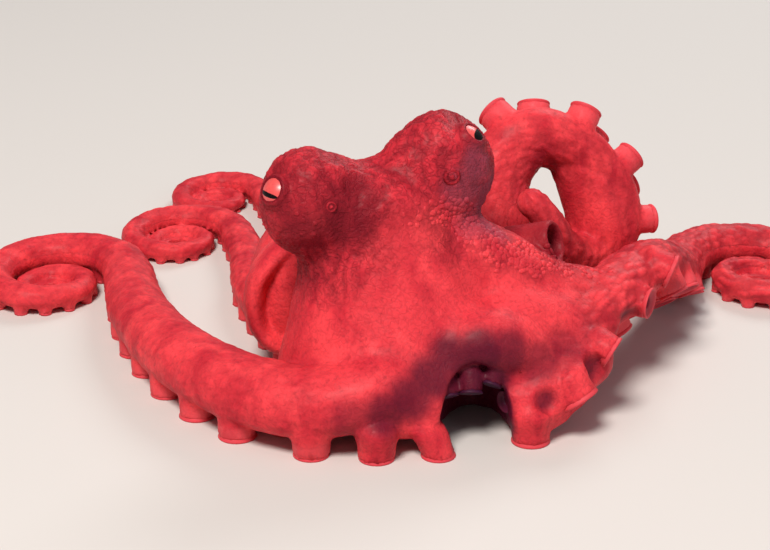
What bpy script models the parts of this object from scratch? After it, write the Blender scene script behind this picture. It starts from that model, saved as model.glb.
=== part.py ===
"""Octopus at rest: a still, life-size animal on eight arms, each node a solid of its own.

The animal faces -Y and +Z is up.  The tables below are in millimetres on a floor at z = 0, with
names from the animal's own side, so its right arms lie at -X.  Every mesh is built in metres, and
at the end the whole model is moved so that its origin is the bottom centre of its box.
"""

import math
from dataclasses import dataclass

import bmesh
import bpy
import numpy as np
from mathutils import Matrix, Vector

MM = 0.001
GAP = 0.32                    # left between two solids that touch
LONGEST_MITRE = 6.0           # of a body made a gap larger, in gaps
DOWN = (0.0, 0.0, -1.0)

# Head: two raised eye turrets with a saddle between, turned to the left and tipped over.
HEAD_CENTRE = np.array((-4.0, 80.0, 116.0))
HEAD_YAW = math.radians(19.0)
HEAD_ROLL = math.radians(8.5)
TURRET_SPACING = 71.0
TURRET_RADII = {-1: (24.5, 24.0, 27.5), 1: (27.0, 25.0, 31.0)}    # across, forward and up, on each side
BROW_INSET = 13.0             # a brow joins each turret to the saddle
BROW_SHARE = 0.80
EYE_RADIUS = 9.5
EYE_PROUD = 1.6               # how far an eye stands out of its turret
EYE_AIM = (0.80, 0.42, 0.62)  # sideways, forward and up, in the head's own frame
NECK_CUT = 64.0               # height at which the head ends and the crown of arms begins

# Neck and web: level ellipses, each (height, centre x, centre y, half width, half depth).
NECK_RINGS = (
    (108, -4, 82, 36, 28),
    (95, -2, 80, 41, 33),
    (70, 2, 76, 47, 40),
    (45, 8, 70, 58, 48),
    (25, 14, 64, 69, 56),
    (8, 14, 62, 74, 59),
    (2, 14, 62, 62, 48),
)
WEB_FOLD = ((34, 84, 74, 27), (56, 86, 64, 25), (80, 90, 50, 22), (104, 102, 44, 19))  # to the front left arm
FRONT_GAP = ((49, 12, 10), (19, 34, 30))     # opening under the web between the front arms

# Mantle: upright ellipses along Y, each (y, centre x, lowest z, half width, half height).
MANTLE_RINGS = (
    (96, -6, 40, 28, 20),
    (108, -8, 30, 40, 28),
    (122, -10, 27.5, 45, 33),
    (145, -11, 26.5, 46, 35),
    (168, -10, 25, 46, 33),
    (192, -8, 24, 44, 28.5),
    (216, -5, 23, 39, 22.5),
    (240, -2, 22.5, 29, 16),
    (256, 0, 23.5, 16, 9),
)
MANTLE_LIP = ((-36, 117, 78), (-54, 113, 67), (-66, 110, 52), (-69, 109, 37), (-64, 111, 25), (-54, 114, 21))
LIP_THICKNESS = 5.0           # half of the rolled edge's thickness
LIP_DEPTH = 15.0              # half of how far the edge reaches along the mantle

FUNNEL_AXIS = ((40, 108, 58), (62, 114, 66), (87, 117, 71))
FUNNEL_RADII = (15.0, 12.5, 10.5)
FUNNEL_BORE = 6.5

# Arms: section in shares of the arm's radius, and the suckers under it.
ARM_TOP = 0.92
ARM_BOTTOM = 0.62
SUCKER_HEIGHT = 0.30
SUCKER_WIDTH = 0.94
SUCKER_PITCH = 1.55           # along a row, in sucker widths
SUCKER_SPREAD = 0.47          # from the arm's middle line to a row
TIP_RADIUS = 1.5
CROWN = (18, 60)              # where the arms meet, over the mouth
WEB_EDGE = 70.0               # length along an arm at which it leaves the crown
STUB_PAST_EDGE = 8.0          # how much further the crown's own stubs reach before they are cut

SKIN = (0.80, 0.06, 0.07, 1.0)
PALE = (0.86, 0.33, 0.30, 1.0)
DARK = (0.03, 0.004, 0.006, 1.0)


def way(x, y, lift=0.0, oral=DOWN):
    """A point on an arm's route: its place, its height off the floor and where its suckers face."""
    return np.array((x, y, lift, *oral), dtype=float)


@dataclass(frozen=True)
class Arm:
    """An arm's size and route.  Past the route the rest of its length lies in a flat coil."""

    name: str
    radius: float
    length: float
    route: tuple
    turn: int                 # +1 coils to its left, -1 to its right, 0 has no coil
    cuts: tuple               # lengths along the arm at which it is divided
    taper: float = 1.15
    suckers: tuple = None     # stretch along the arm with suckers of its own


FRONT = 24.0
REAR = 17.0
ARMS = (
    Arm("arm_right_1", FRONT, 650, turn=1, cuts=(215, 400), suckers=(20, 250), route=(
        way(2, 30, 6), way(-34, 25), way(-65, 40), way(-89, 65), way(-109, 95), way(-125, 130),
        way(-137, 166), way(-145, 207))),
    Arm("arm_right_2", REAR, 560, turn=1, cuts=(200, 360), route=(
        way(-6, 72), way(-30, 88), way(-50, 114), way(-63, 152), way(-74, 200), way(-80, 250), way(-88, 285))),
    Arm("arm_right_3", REAR, 560, turn=1, cuts=(200, 360), route=(
        way(-8, 88), way(-23, 116), way(-33, 152), way(-45, 200), way(-54, 250), way(-62, 310), way(-76, 360))),
    Arm("arm_right_4", REAR, 560, turn=1, cuts=(200, 360), route=(
        way(4, 92), way(-2, 122), way(-6, 160), way(-17, 210), way(-20, 260), way(2, 315))),
    Arm("arm_left_4", REAR, 560, turn=-1, cuts=(200, 360), route=(
        way(29, 90), way(31, 120), way(25, 155), way(13, 200), way(14, 250), way(28, 320))),
    Arm("arm_left_3", 22.0, 412, turn=0, cuts=(135, 270), taper=3.2, suckers=(120, 350), route=(
        way(49, 86), way(66, 112), way(67, 138, 4, (0, 0.4, -1)), way(60, 162, 36, (-0.4, 0.8, -0.2)),
        way(60, 178, 68, (-0.5, 0.8, 0.2)), way(80, 190, 88, (0, 0.6, 0.8)), way(108, 194, 76, (0.5, 0.5, 0.6)),
        way(128, 193, 48, (0.9, 0.4, 0)), way(127, 189, 30, (0.9, 0.3, -0.2)), way(114, 179, 25, (0.3, 0.2, -0.9)),
        way(102, 165, 30, (-0.5, 0, -0.8)), way(93, 152, 43, (-0.9, 0, -0.3)), way(87, 142, 60, (-1, 0, 0)),
        way(80, 138, 80, (-1, 0, 0.2)))),
    Arm("arm_left_2", REAR, 560, turn=1, cuts=(190, 350), route=(
        way(55, 80), way(79, 104), way(96, 128), way(107, 155), way(110, 185), way(109, 210))),
    Arm("arm_left_1", FRONT, 650, turn=-1, cuts=(165, 330), suckers=(20, 190), route=(
        way(46, 46, 22, (0, -0.3, -1)), way(66, 52, 14, (0.1, -0.5, -0.9)), way(86, 64, 5, (0.2, -0.5, -0.9)),
        way(107, 88, 21, (0.35, -0.5, -0.8)), way(127, 118, 33, (0.6, -0.35, -0.7)),
        way(143, 149, 34, (0.9, -0.2, -0.4)), way(156, 181, 18, (0.8, 0, -0.5)), way(166, 218, 0, (0.3, 0, -0.9)))),
)

PRESSED = (                   # lengths of arm that lie hard against another, which shapes their side
    ("arm_left_2_base", "arm_left_3_base"),
    ("arm_right_3_base", "arm_right_2_base"),
    ("arm_right_3_base", "arm_right_4_base"),
)


def head_frame():
    """The head's own directions in the world: to the animal's left, forward and up."""
    across = np.array((math.cos(HEAD_YAW), math.sin(HEAD_YAW), math.tan(HEAD_ROLL)))
    across /= np.linalg.norm(across)
    forward = np.cross((0.0, 0.0, 1.0), across)
    forward /= -np.linalg.norm(forward)
    return across, forward, np.cross(forward, across) * np.sign(np.cross(forward, across)[2])


def turret(side):
    """Centre of the eye turret on one side: -1 is the animal's right, +1 its left."""
    across, _, _ = head_frame()
    return HEAD_CENTRE + across * side * TURRET_SPACING / 2


def eye_centre(side):
    """Centre of the eye on one side, and the direction in which it looks."""
    across, forward, up = head_frame()
    aim = across * side * EYE_AIM[0] + forward * EYE_AIM[1] + up * EYE_AIM[2]
    aim /= np.linalg.norm(aim)
    shares = [aim @ axis / radius for axis, radius in zip((across, forward, up), TURRET_RADII[side])]
    return turret(side) + aim * (1 / np.linalg.norm(shares) + EYE_PROUD - EYE_RADIUS), aim


def smooth_line(points, per_span=24):
    """A centripetal Catmull-Rom curve through rows of numbers, the first three of which are a place."""
    points = np.asarray(points, dtype=float)
    padded = np.vstack((2 * points[0] - points[1], points, 2 * points[-1] - points[-2]))
    rows = []
    for span in range(len(points) - 1):
        a, b, c, d = padded[span:span + 4]
        knots = np.cumsum([0.0] + [math.sqrt(np.linalg.norm((q - p)[:3])) for p, q in ((a, b), (b, c), (c, d))])
        t = np.linspace(knots[1], knots[2], per_span, endpoint=False)[:, None]

        def blend(p, q, start, end):
            return ((end - t) * p + (t - start) * q) / (end - start)

        ab, bc, cd = blend(a, b, *knots[0:2]), blend(b, c, *knots[1:3]), blend(c, d, *knots[2:4])
        rows.append(blend(blend(ab, bc, knots[0], knots[2]), blend(bc, cd, knots[1], knots[3]), *knots[1:3]))
    return np.vstack(rows + [points[-1:]])


def arm_radius(arm, along):
    """Half the arm's width at a length along it."""
    share = np.clip(np.asarray(along, dtype=float) / arm.length, 0.0, 1.0)
    return TIP_RADIUS + (arm.radius - TIP_RADIUS) * (1 - share ** arm.taper)


def coil(arm, start, heading, along, step):
    """Points of the flat coil that holds the arm's end, packed so that its turns lie side by side."""
    lengths = np.arange(along + step, arm.length, step)
    used = np.cumsum(2.3 * arm_radius(arm, lengths) * step) / math.pi
    smallest = 5.0
    widest = math.sqrt(used[-1] + smallest ** 2)
    points, place = [], np.array(start, dtype=float)
    for index, area in enumerate(used):
        bend = math.sqrt(max(smallest ** 2, widest ** 2 - area))
        ease = min(1.0, index * step / (0.7 * widest))
        heading += arm.turn * ease * step / bend
        place = place + step * np.array((math.cos(heading), math.sin(heading)))
        points.append((*place, 0.0, *DOWN))
    return np.array(points)


def arm_line(arm, step=2.0):
    """The arm's middle line every step: places, sideways and dorsal directions, radii and lengths."""
    curve = smooth_line((way(*CROWN, 4),) + arm.route)
    run = np.concatenate(([0.0], np.cumsum(np.linalg.norm(np.diff(curve[:, :3], axis=0), axis=1))))
    even = np.arange(0.0, min(run[-1], arm.length), step)
    rows = np.stack([np.interp(even, run, curve[:, column]) for column in range(6)], axis=1)
    if arm.turn:
        heading = math.atan2(*(rows[-1, :2] - rows[-3, :2])[::-1])
        rows = np.vstack((rows, coil(arm, rows[-1, :2], heading, even[-1], step)))
    along = np.arange(len(rows)) * step
    radii = arm_radius(arm, along)
    places = rows[:, :3].copy()
    places[:, 2] += radii * (ARM_BOTTOM + SUCKER_HEIGHT)
    ahead = np.gradient(places, axis=0)
    ahead /= np.linalg.norm(ahead, axis=1)[:, None]
    dorsal = -rows[:, 3:6]
    dorsal -= ahead * np.sum(dorsal * ahead, axis=1)[:, None]
    dorsal /= np.linalg.norm(dorsal, axis=1)[:, None]
    return places, np.cross(ahead, dorsal), dorsal, radii, along


def section(floor_share, sides):
    """An arm's outline for a radius of 1: round above, flat where its suckers are."""
    angles = (np.arange(sides) + 0.5) * 2 * math.pi / sides - math.pi / 2
    across, height = np.cos(angles), np.sin(angles)
    low = -floor_share * np.minimum(1.0, np.abs(height) / math.cos(math.pi / sides)) ** 0.8
    return across, np.where(height > 0, ARM_TOP * height, low)


def mesh_object(name, bm, colour=SKIN, collection=None):
    """An object made of a bmesh in millimetres, with a material of its own."""
    bmesh.ops.recalc_face_normals(bm, faces=bm.faces)
    bmesh.ops.scale(bm, vec=Vector((MM, MM, MM)), verts=bm.verts)
    mesh = bpy.data.meshes.new(name)
    bm.to_mesh(mesh)
    bm.free()
    made = bpy.data.objects.new(name, mesh)
    (collection or PARTS).objects.link(made)
    if colour is not None:
        mesh.materials.append(paint(name, colour))
    return made


def paint(name, colour):
    """A wet, soft finish of one colour."""
    material = bpy.data.materials.new(name)
    material.use_nodes = True
    shader = material.node_tree.nodes["Principled BSDF"]
    shader.inputs["Base Color"].default_value = colour
    shader.inputs["Roughness"].default_value = 0.35
    shader.inputs["Metallic"].default_value = 0.0
    return material


def loft(bm, rings):
    """Skin over rings of points, closed at both ends."""
    loops = [[bm.verts.new(tuple(point)) for point in ring] for ring in rings]
    count = len(loops[0])
    for near, far in zip(loops[:-1], loops[1:]):
        for index in range(count):
            after = (index + 1) % count
            bm.faces.new((near[index], near[after], far[after], far[index]))
    bm.faces.new(loops[0][::-1])
    bm.faces.new(loops[-1])


def sweep_rings(arm, start, end, floor_share=None, pace=1.0):
    """Section rings along a stretch of an arm, closer together where it is thin or bent."""
    places, aside, dorsal, radii, along = arm_line(arm)
    if floor_share is None:
        floor_share = ARM_BOTTOM + (0.0 if arm.suckers else SUCKER_HEIGHT)
    bend = np.linalg.norm(np.gradient(np.gradient(places, along, axis=0), along, axis=0), axis=1)
    steps = pace * np.clip(np.minimum(1.7 * radii + 3, 0.66 / np.maximum(bend, 1e-4)), 6.5, None)
    marks, at = [], start
    while at < end - 0.4 * float(np.interp(at, along, steps)):
        marks.append(at)
        at += float(np.interp(at, along, steps))
    marks.append(min(end, along[-1]))
    rings = []
    for mark in marks:
        place, side, back = (
            np.array([np.interp(mark, along, rows[:, axis]) for axis in range(3)]) for rows in (places, aside, dorsal))
        side, back = side / np.linalg.norm(side), back / np.linalg.norm(back)
        radius = float(np.interp(mark, along, radii))
        bare = arm.suckers and not arm.suckers[0] <= mark <= arm.suckers[1]
        across, height = section(ARM_BOTTOM + SUCKER_HEIGHT if bare else floor_share, 10 if arm.suckers else 8)
        ring = [place + (side * a + back * h) * radius for a, h in zip(across, height)]
        rings.append([(x, y, max(z, 0.0)) for x, y, z in ring])
    return rings


def helper(name, bm):
    """A shape that only helps to make others: it is hidden and never built."""
    made = mesh_object(name, bm, colour=None, collection=HELPERS)
    made.hide_render = True
    made.display_type = "WIRE"
    return made


def add_ellipsoid(bm, centre, radii, turn=None, divisions=3):
    """A closed ellipsoid in a bmesh, turned by a rotation matrix."""
    made = bmesh.ops.create_icosphere(bm, subdivisions=divisions, radius=1.0)
    matrix = Matrix.Translation(Vector(centre)) @ (turn or Matrix()) @ Matrix.Diagonal((*radii, 1.0))
    bmesh.ops.transform(bm, matrix=matrix, verts=made["verts"])


def modifier(target, kind, **settings):
    """Add a modifier with the given settings."""
    added = target.modifiers.new(kind.lower(), kind)
    for key, value in settings.items():
        setattr(added, key, value)
    return added


def bake(target):
    """Turn an object's modifiers into its mesh."""
    bpy.context.view_layer.update()
    shaped = bpy.data.meshes.new_from_object(target.evaluated_get(bpy.context.evaluated_depsgraph_get()))
    target.modifiers.clear()
    target.data = shaped
    return target


def combine(target, others, operation):
    """Join other shapes to an object, or cut them out of it, and keep its largest body."""
    for other in others:
        modifier(target, "BOOLEAN", object=other, operation=operation, solver="EXACT")
        bake(target)
    bm = bmesh.new()
    bm.from_mesh(target.data)
    bmesh.ops.dissolve_degenerate(bm, edges=bm.edges, dist=2e-6)
    bodies, seen = [], set()
    for seed in bm.verts:
        if seed in seen:
            continue
        body, edge = {seed}, [seed]
        while edge:
            for link in edge.pop().link_edges:
                for vert in link.verts:
                    if vert not in body:
                        body.add(vert)
                        edge.append(vert)
        seen |= body
        bodies.append(body)
    largest = max(bodies, key=len)
    bmesh.ops.delete(bm, geom=[vert for vert in bm.verts if vert not in largest], context="VERTS")
    bmesh.ops.triangulate(bm, faces=bm.faces)
    bm.to_mesh(target.data)
    bm.free()
    return target


def fuse(name, bm, voxel, smooth, share, collection=None):
    """Melt overlapping closed shapes into one soft body with few faces."""
    made = mesh_object(name, bm, SKIN, collection)
    modifier(made, "REMESH", mode="VOXEL", voxel_size=voxel * MM)
    modifier(made, "SMOOTH", factor=0.5, iterations=smooth)
    modifier(made, "DECIMATE", ratio=share)
    return bake(made)


def ellipse_ring(centre, right, up, sides=20):
    """Points of an ellipse with the given half axes."""
    turns = np.arange(sides) * 2 * math.pi / sides
    return [np.array(centre) + np.array(right) * math.cos(t) + np.array(up) * math.sin(t) for t in turns]


def body_core():
    """Head, neck and crown of arms as one body, before it is parted."""
    across, forward, up = head_frame()
    turn = Matrix((across, forward, up)).transposed().to_4x4()
    bm = bmesh.new()
    for side, radii in TURRET_RADII.items():
        add_ellipsoid(bm, turret(side), radii, turn)
        add_ellipsoid(bm, turret(side) - across * side * BROW_INSET, np.array(radii) * BROW_SHARE, turn)
    add_ellipsoid(bm, HEAD_CENTRE - up * 12, (46, 30, 25), turn)
    loft(bm, [ellipse_ring((x, y, z), (wide, 0, 0), (0, deep, 0), 28) for z, x, y, wide, deep in NECK_RINGS])
    fold = smooth_line([(x, y, z, radius, 0, 0) for x, y, z, radius in WEB_FOLD], 6)
    for x, y, z, radius in fold[:, :4]:
        add_ellipsoid(bm, (x, y, z), (radius, radius, radius), divisions=2)
    for arm in ARMS:
        loft(bm, sweep_rings(arm, 8, WEB_EDGE + STUB_PAST_EDGE, floor_share=ARM_BOTTOM + SUCKER_HEIGHT, pace=0.4))
    return fuse("crown", bm, voxel=2.6, smooth=14, share=0.026)


def ellipsoid_helper(name, centre, radii):
    """A hidden ellipsoid to cut with."""
    bm = bmesh.new()
    add_ellipsoid(bm, centre, radii)
    return helper(name, bm)


def slab(name, low, high):
    """A hidden block as wide as the whole animal, between two heights."""
    bm = bmesh.new()
    bmesh.ops.create_cube(bm, size=1.0)
    matrix = Matrix.Translation((0, 200, (low + high) / 2)) @ Matrix.Diagonal((900, 900, high - low, 1))
    bmesh.ops.transform(bm, matrix=matrix, verts=bm.verts)
    return helper(name, bm)


def copy_of(source, name):
    """A second object with the same shape."""
    made = bpy.data.objects.new(name, source.data.copy())
    PARTS.objects.link(made)
    return made


def make_eyes():
    """Two eyeballs, and the same balls a little larger to cut their sockets."""
    sockets = []
    for side, name in ((-1, "eye_right"), (1, "eye_left")):
        centre, aim = eye_centre(side)
        turn = Vector(aim).to_track_quat("Z", "Y").to_matrix().to_4x4()
        for radius in (EYE_RADIUS, EYE_RADIUS + GAP):
            bm = bmesh.new()
            bmesh.ops.create_uvsphere(bm, u_segments=12, v_segments=7, radius=radius)
            bmesh.ops.transform(bm, matrix=Matrix.Translation(Vector(centre)) @ turn, verts=bm.verts)
            if radius == EYE_RADIUS:
                mesh_object(name, bm, DARK)
            else:
                sockets.append(helper(f"{name}_socket", bm))
    return sockets


def sucker_rings(place, aside, dorsal, radius):
    """A short cup that widens to its rim, from inside the arm out to the rim's plane."""
    half = radius * SUCKER_WIDTH / 2
    levels = ((-0.25, 0.86), (-ARM_BOTTOM - SUCKER_HEIGHT, 1.0))
    ahead = np.cross(dorsal, aside)
    rings = [ellipse_ring(place + dorsal * radius * level, aside * half * wide, ahead * half * wide, 7)
             for level, wide in levels]
    return [[(x, y, max(z, 0.0)) for x, y, z in ring] for ring in rings]


def arm_suckers(arm, start, end):
    """The suckers along a stretch of an arm, in two rows that alternate."""
    if arm.suckers is None:
        return []
    places, aside, dorsal, radii, along = arm_line(arm)
    made, at, row = [], arm.suckers[0], 1
    while at < arm.suckers[1]:
        spot = int(round(at / (along[1] - along[0])))
        radius = radii[spot]
        if start + 0.55 * radius < at < end - 0.55 * radius:
            bm = bmesh.new()
            centre = places[spot] + aside[spot] * row * SUCKER_SPREAD * radius
            loft(bm, sucker_rings(centre, aside[spot], dorsal[spot], radius))
            made.append(helper(f"{arm.name}_sucker", bm))
        at += SUCKER_PITCH * SUCKER_WIDTH * radius / 2
        row = -row
    return made


def make_arms():
    """Every arm in lengths that meet end to end."""
    names = ("base", "middle", "tip")
    for arm in ARMS:
        ends = (WEB_EDGE, *arm.cuts, arm.length)
        for part, start, end in zip(names, ends[:-1], ends[1:]):
            bm = bmesh.new()
            loft(bm, sweep_rings(arm, start + (GAP if start > WEB_EDGE else 0), end))
            made = mesh_object(f"{arm.name}_{part}", bm)
            combine(made, arm_suckers(arm, start, end), "UNION")


def make_mantle():
    """The sac behind the head, with the rolled edge of its opening on the animal's right."""
    bm = bmesh.new()
    loft(bm, [ellipse_ring((x, y, low + tall), (wide, 0, 0), (0, 0, tall), 24)
              for y, x, low, wide, tall in MANTLE_RINGS])
    edge = smooth_line([(*point, 0, 0, 0) for point in MANTLE_LIP], 5)[:, :3]
    ahead = np.gradient(edge, axis=0)
    outward = np.cross(ahead, (0.0, 1.0, 0.0))
    outward /= np.linalg.norm(outward, axis=1)[:, None]
    loft(bm, [ellipse_ring(point + np.array((0, 0.7 * LIP_DEPTH, 0)), out * LIP_THICKNESS, (0, LIP_DEPTH, 0), 12)
              for point, out in zip(edge, outward)])
    return fuse("mantle", bm, voxel=2.4, smooth=6, share=0.026)


def make_funnel():
    """The siphon: a short tapered tube that opens to the animal's left."""
    axis = smooth_line([(*point, 0, 0, 0) for point in FUNNEL_AXIS], 3)[:, :3]
    shares = np.linspace(0, 1, len(axis))
    radii = np.interp(shares, (0, 0.5, 1), FUNNEL_RADII)
    ahead = np.gradient(axis, axis=0)
    ahead /= np.linalg.norm(ahead, axis=1)[:, None]
    side = np.cross(ahead, (0.0, 0.0, 1.0))
    side /= np.linalg.norm(side, axis=1)[:, None]
    up = np.cross(side, ahead)
    rings = [ellipse_ring(p, s * r, u * r, 11) for p, s, u, r in zip(axis, side, up, radii)]
    mouth, rim_side, rim_up, rim_ahead = axis[-1], side[-1], up[-1], ahead[-1]
    for depth, radius in ((1.0, FUNNEL_RADII[-1] - 1.5), (0.0, FUNNEL_BORE), (-14.0, FUNNEL_BORE - 1.5)):
        rings.append(ellipse_ring(mouth + rim_ahead * depth, rim_side * radius, rim_up * radius, 11))
    bm = bmesh.new()
    loft(bm, rings)
    return mesh_object("funnel", bm, PALE)


def grown(source):
    """A hidden copy of a body, a gap larger all round, to cut its neighbours with."""
    name = f"{source.name}_grown"
    bm = bmesh.new()
    bm.from_mesh(source.data)
    bm.normal_update()
    moves = []
    for vert in bm.verts:
        normals = np.array([face.normal for face in vert.link_faces])
        move = np.linalg.lstsq(normals, np.full(len(normals), GAP * MM), rcond=0.05)[0]
        moves.append(Vector(move * min(1.0, LONGEST_MITRE * GAP * MM / np.linalg.norm(move))))
    for vert, move in zip(bm.verts, moves):
        vert.co += move
    mesh = bpy.data.meshes.new(name)
    bm.to_mesh(mesh)
    bm.free()
    made = bpy.data.objects.new(name, mesh)
    HELPERS.objects.link(made)
    made.hide_render = True
    made.display_type = "WIRE"
    return made


def rest_on_origin():
    """Move every part so that the origin is the bottom centre of the model's box."""
    corners = np.array([part.matrix_world @ vert.co for part in PARTS.objects for vert in part.data.vertices])
    low, high = corners.min(axis=0), corners.max(axis=0)
    shift = Vector((-(low[0] + high[0]) / 2, -(low[1] + high[1]) / 2, -low[2]))
    for part in PARTS.objects:
        part.data.transform(Matrix.Translation(shift))


def build():
    """Make the whole animal."""
    make_arms()
    for pressed, against in PRESSED:
        combine(PARTS.objects[pressed], [grown(PARTS.objects[against])], "DIFFERENCE")
    core = body_core()
    sockets = make_eyes()
    bases, middles = ([grown(PARTS.objects[f"{arm.name}_{part}"]) for arm in ARMS] for part in ("base", "middle"))
    combine(core, [ellipsoid_helper("front_gap", *FRONT_GAP), slab("under_floor", -60, 0)] + bases, "DIFFERENCE")
    solid = grown(core)
    mantle = combine(make_mantle(), [solid] + bases + middles, "DIFFERENCE")
    combine(make_funnel(), [solid, grown(mantle)], "DIFFERENCE")
    head = copy_of(core, "head")
    combine(head, [slab("below_neck", -60, NECK_CUT + GAP / 2)] + sockets, "DIFFERENCE")
    combine(core, [slab("above_neck", NECK_CUT - GAP / 2, 400)], "DIFFERENCE")
    rest_on_origin()


for leftover in list(bpy.data.objects):
    bpy.data.objects.remove(leftover)
PARTS = bpy.data.collections.new("octopus")
HELPERS = bpy.data.collections.new("helpers")
bpy.context.scene.collection.children.link(PARTS)
bpy.context.scene.collection.children.link(HELPERS)
build()
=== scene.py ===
"""An octopus at rest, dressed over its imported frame: one skin, its suckers and its two eyes.

Lengths are in millimetres in the animal's own layout: it faces -Y, its right arms lie at -X and the
floor is z = 0.  Each class makes one form there, and every finished mesh is moved onto the frame and
written in metres.
"""

import logging
import math
from dataclasses import dataclass, field
from enum import Enum
from typing import Any, Iterable, Sequence

import bpy
import numpy as np
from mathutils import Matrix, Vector, kdtree


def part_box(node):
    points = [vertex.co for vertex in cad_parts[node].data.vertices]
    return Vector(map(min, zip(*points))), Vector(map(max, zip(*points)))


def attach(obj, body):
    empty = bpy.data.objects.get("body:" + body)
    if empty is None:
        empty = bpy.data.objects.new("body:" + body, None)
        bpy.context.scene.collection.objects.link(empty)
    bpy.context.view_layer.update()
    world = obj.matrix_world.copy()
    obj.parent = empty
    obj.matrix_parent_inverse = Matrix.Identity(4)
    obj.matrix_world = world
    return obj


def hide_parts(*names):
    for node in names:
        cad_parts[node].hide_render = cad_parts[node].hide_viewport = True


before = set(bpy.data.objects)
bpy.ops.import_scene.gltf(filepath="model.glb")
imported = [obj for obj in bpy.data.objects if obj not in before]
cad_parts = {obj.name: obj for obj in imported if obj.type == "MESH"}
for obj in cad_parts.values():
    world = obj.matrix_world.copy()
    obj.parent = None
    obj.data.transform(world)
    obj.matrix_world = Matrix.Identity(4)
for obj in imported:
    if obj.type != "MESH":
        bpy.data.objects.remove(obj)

LOG = logging.getLogger("octopus")
MM = 0.001
BODY = "root"
DOWN = (0.0, 0.0, -1.0)
UPRIGHT = (0.0, 0.0, 1.0)

# The skin's mesh: how finely it is cast, and how many faces it keeps.
CORE_VOXEL = 2.0              # mm, for the head and crown, which are melted first
SKIN_VOXEL = 1.0              # mm, for the whole skin
SKIN_FACES = 192_000

# Sizes that the relief and the finishes share.
SCALE_SIZE = 4.6              # mm, of a scale across the arm
SCALE_STRETCH = 0.62          # by which lengths along the arm are shortened, so that scales are drawn out
EYE_REACH = 22.0              # mm, from the middle of an eye to where its lids end

# Kinds of node that are used often.
MATH = "ShaderNodeMath"
VECTOR_MATH = "ShaderNodeVectorMath"
NOISE = "ShaderNodeTexNoise"
BLEND = "ShaderNodeMix"
NAMED = "GeometryNodeInputNamedAttribute"


class Sides(Enum):
    """The animal's own sides, as the sign of X on which each lies."""

    RIGHT = -1
    LEFT = 1


class Area(Enum):
    """Kinds of skin, and of painted light and shade, each named for the attribute that holds how far a point
    belongs to it.
    """

    WARTS = "warts"           # beads on the neck and shoulder
    NET = "net"               # fine wrinkles on head and neck
    SCALES = "scales"         # flat bumps in rows on the arms
    PALE = "pale"             # round the suckers
    PURPLE_SHADE = "dusk"             # painted shade in purple: round the gap over the mouth, in dents and on a shaded arm
    COOL_SHADE = "ash"               # painted shade, cool grey, on the outer side of the left turret and under its eye
    CRIMSON_AND_SHADE = "crimson"       # dark red marking of the right turret, and painted shade in the same dark red under it, on and inside the funnel, round the lids and in the ringed papillae
    PAINTED_LIGHT = "bright"         # painted light: lighter red where the face, the apron, the front arms and the mantle's collar catch the light


class Places(Enum):
    """Where a tree's patterns read places: the node, its output and how long a millimetre is there."""

    LAYOUT = ("GeometryNodeInputPosition", "Position", 1.0)
    PIECE = ("ShaderNodeTexCoord", "Object", MM)


# ----------------------------------------------------------------------------- small mathematics

def unit(vector: Sequence[float]) -> np.ndarray:
    """The vector at a length of 1."""
    vector = np.asarray(vector, dtype=float)
    return vector / np.linalg.norm(vector)


def smooth_step(low: float, high: float, values: np.ndarray) -> np.ndarray:
    """Rise smoothly from 0 at low to 1 at high.

    Args:
        low: Value at which the step starts.
        high: Value at which it ends, below low for a step that falls.
        values: Where to read the step.

    Returns:
        The step at each value.
    """
    share = np.clip((values - low) / (high - low), 0.0, 1.0)
    return share * share * (3.0 - 2.0 * share)


def smooth_line(points: Sequence[Sequence[float]], per_span: int = 24) -> np.ndarray:
    """A centripetal Catmull-Rom curve through rows of numbers, the first three of which are a place.

    Args:
        points: Rows that the curve passes through.
        per_span: Points made between two rows.

    Returns:
        The curve's rows.
    """
    points = np.asarray(points, dtype=float)
    padded = np.vstack((2 * points[0] - points[1], points, 2 * points[-1] - points[-2]))
    rows = []
    for span in range(len(points) - 1):
        a, b, c, d = padded[span:span + 4]
        gaps = [math.sqrt(np.linalg.norm((q - p)[:3])) for p, q in ((a, b), (b, c), (c, d))]
        knots = np.cumsum([0.0] + gaps)
        t = np.linspace(knots[1], knots[2], per_span, endpoint=False)[:, None]

        def blend(p: np.ndarray, q: np.ndarray, start: float, end: float) -> np.ndarray:
            """Rows between p and q where t runs from start to end."""
            return ((end - t) * p + (t - start) * q) / (end - start)

        ab, bc, cd = blend(a, b, *knots[0:2]), blend(b, c, *knots[1:3]), blend(c, d, *knots[2:4])
        rows.append(blend(blend(ab, bc, knots[0], knots[2]), blend(bc, cd, knots[1], knots[3]), *knots[1:3]))
    return np.vstack(rows + [points[-1:]])


def ellipse_ring(centre: Sequence[float], right: Sequence[float], up: Sequence[float],
                 sides: int = 32) -> np.ndarray:
    """Points of an ellipse with the given half axes."""
    turns = np.arange(sides)[:, None] * 2 * math.pi / sides
    return np.asarray(centre) + np.asarray(right) * np.cos(turns) + np.asarray(up) * np.sin(turns)


def level_frame(ahead: np.ndarray) -> tuple[np.ndarray, np.ndarray]:
    """Directions across a line and over it, for a line that never stands upright.

    Args:
        ahead: Unit directions along the line.

    Returns:
        Level directions across the line, and directions square to both.
    """
    across = np.cross(ahead, UPRIGHT)
    across /= np.linalg.norm(across, axis=1)[:, None]
    return across, np.cross(across, ahead)


# ----------------------------------------------------------------------------- clay and meshes

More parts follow.
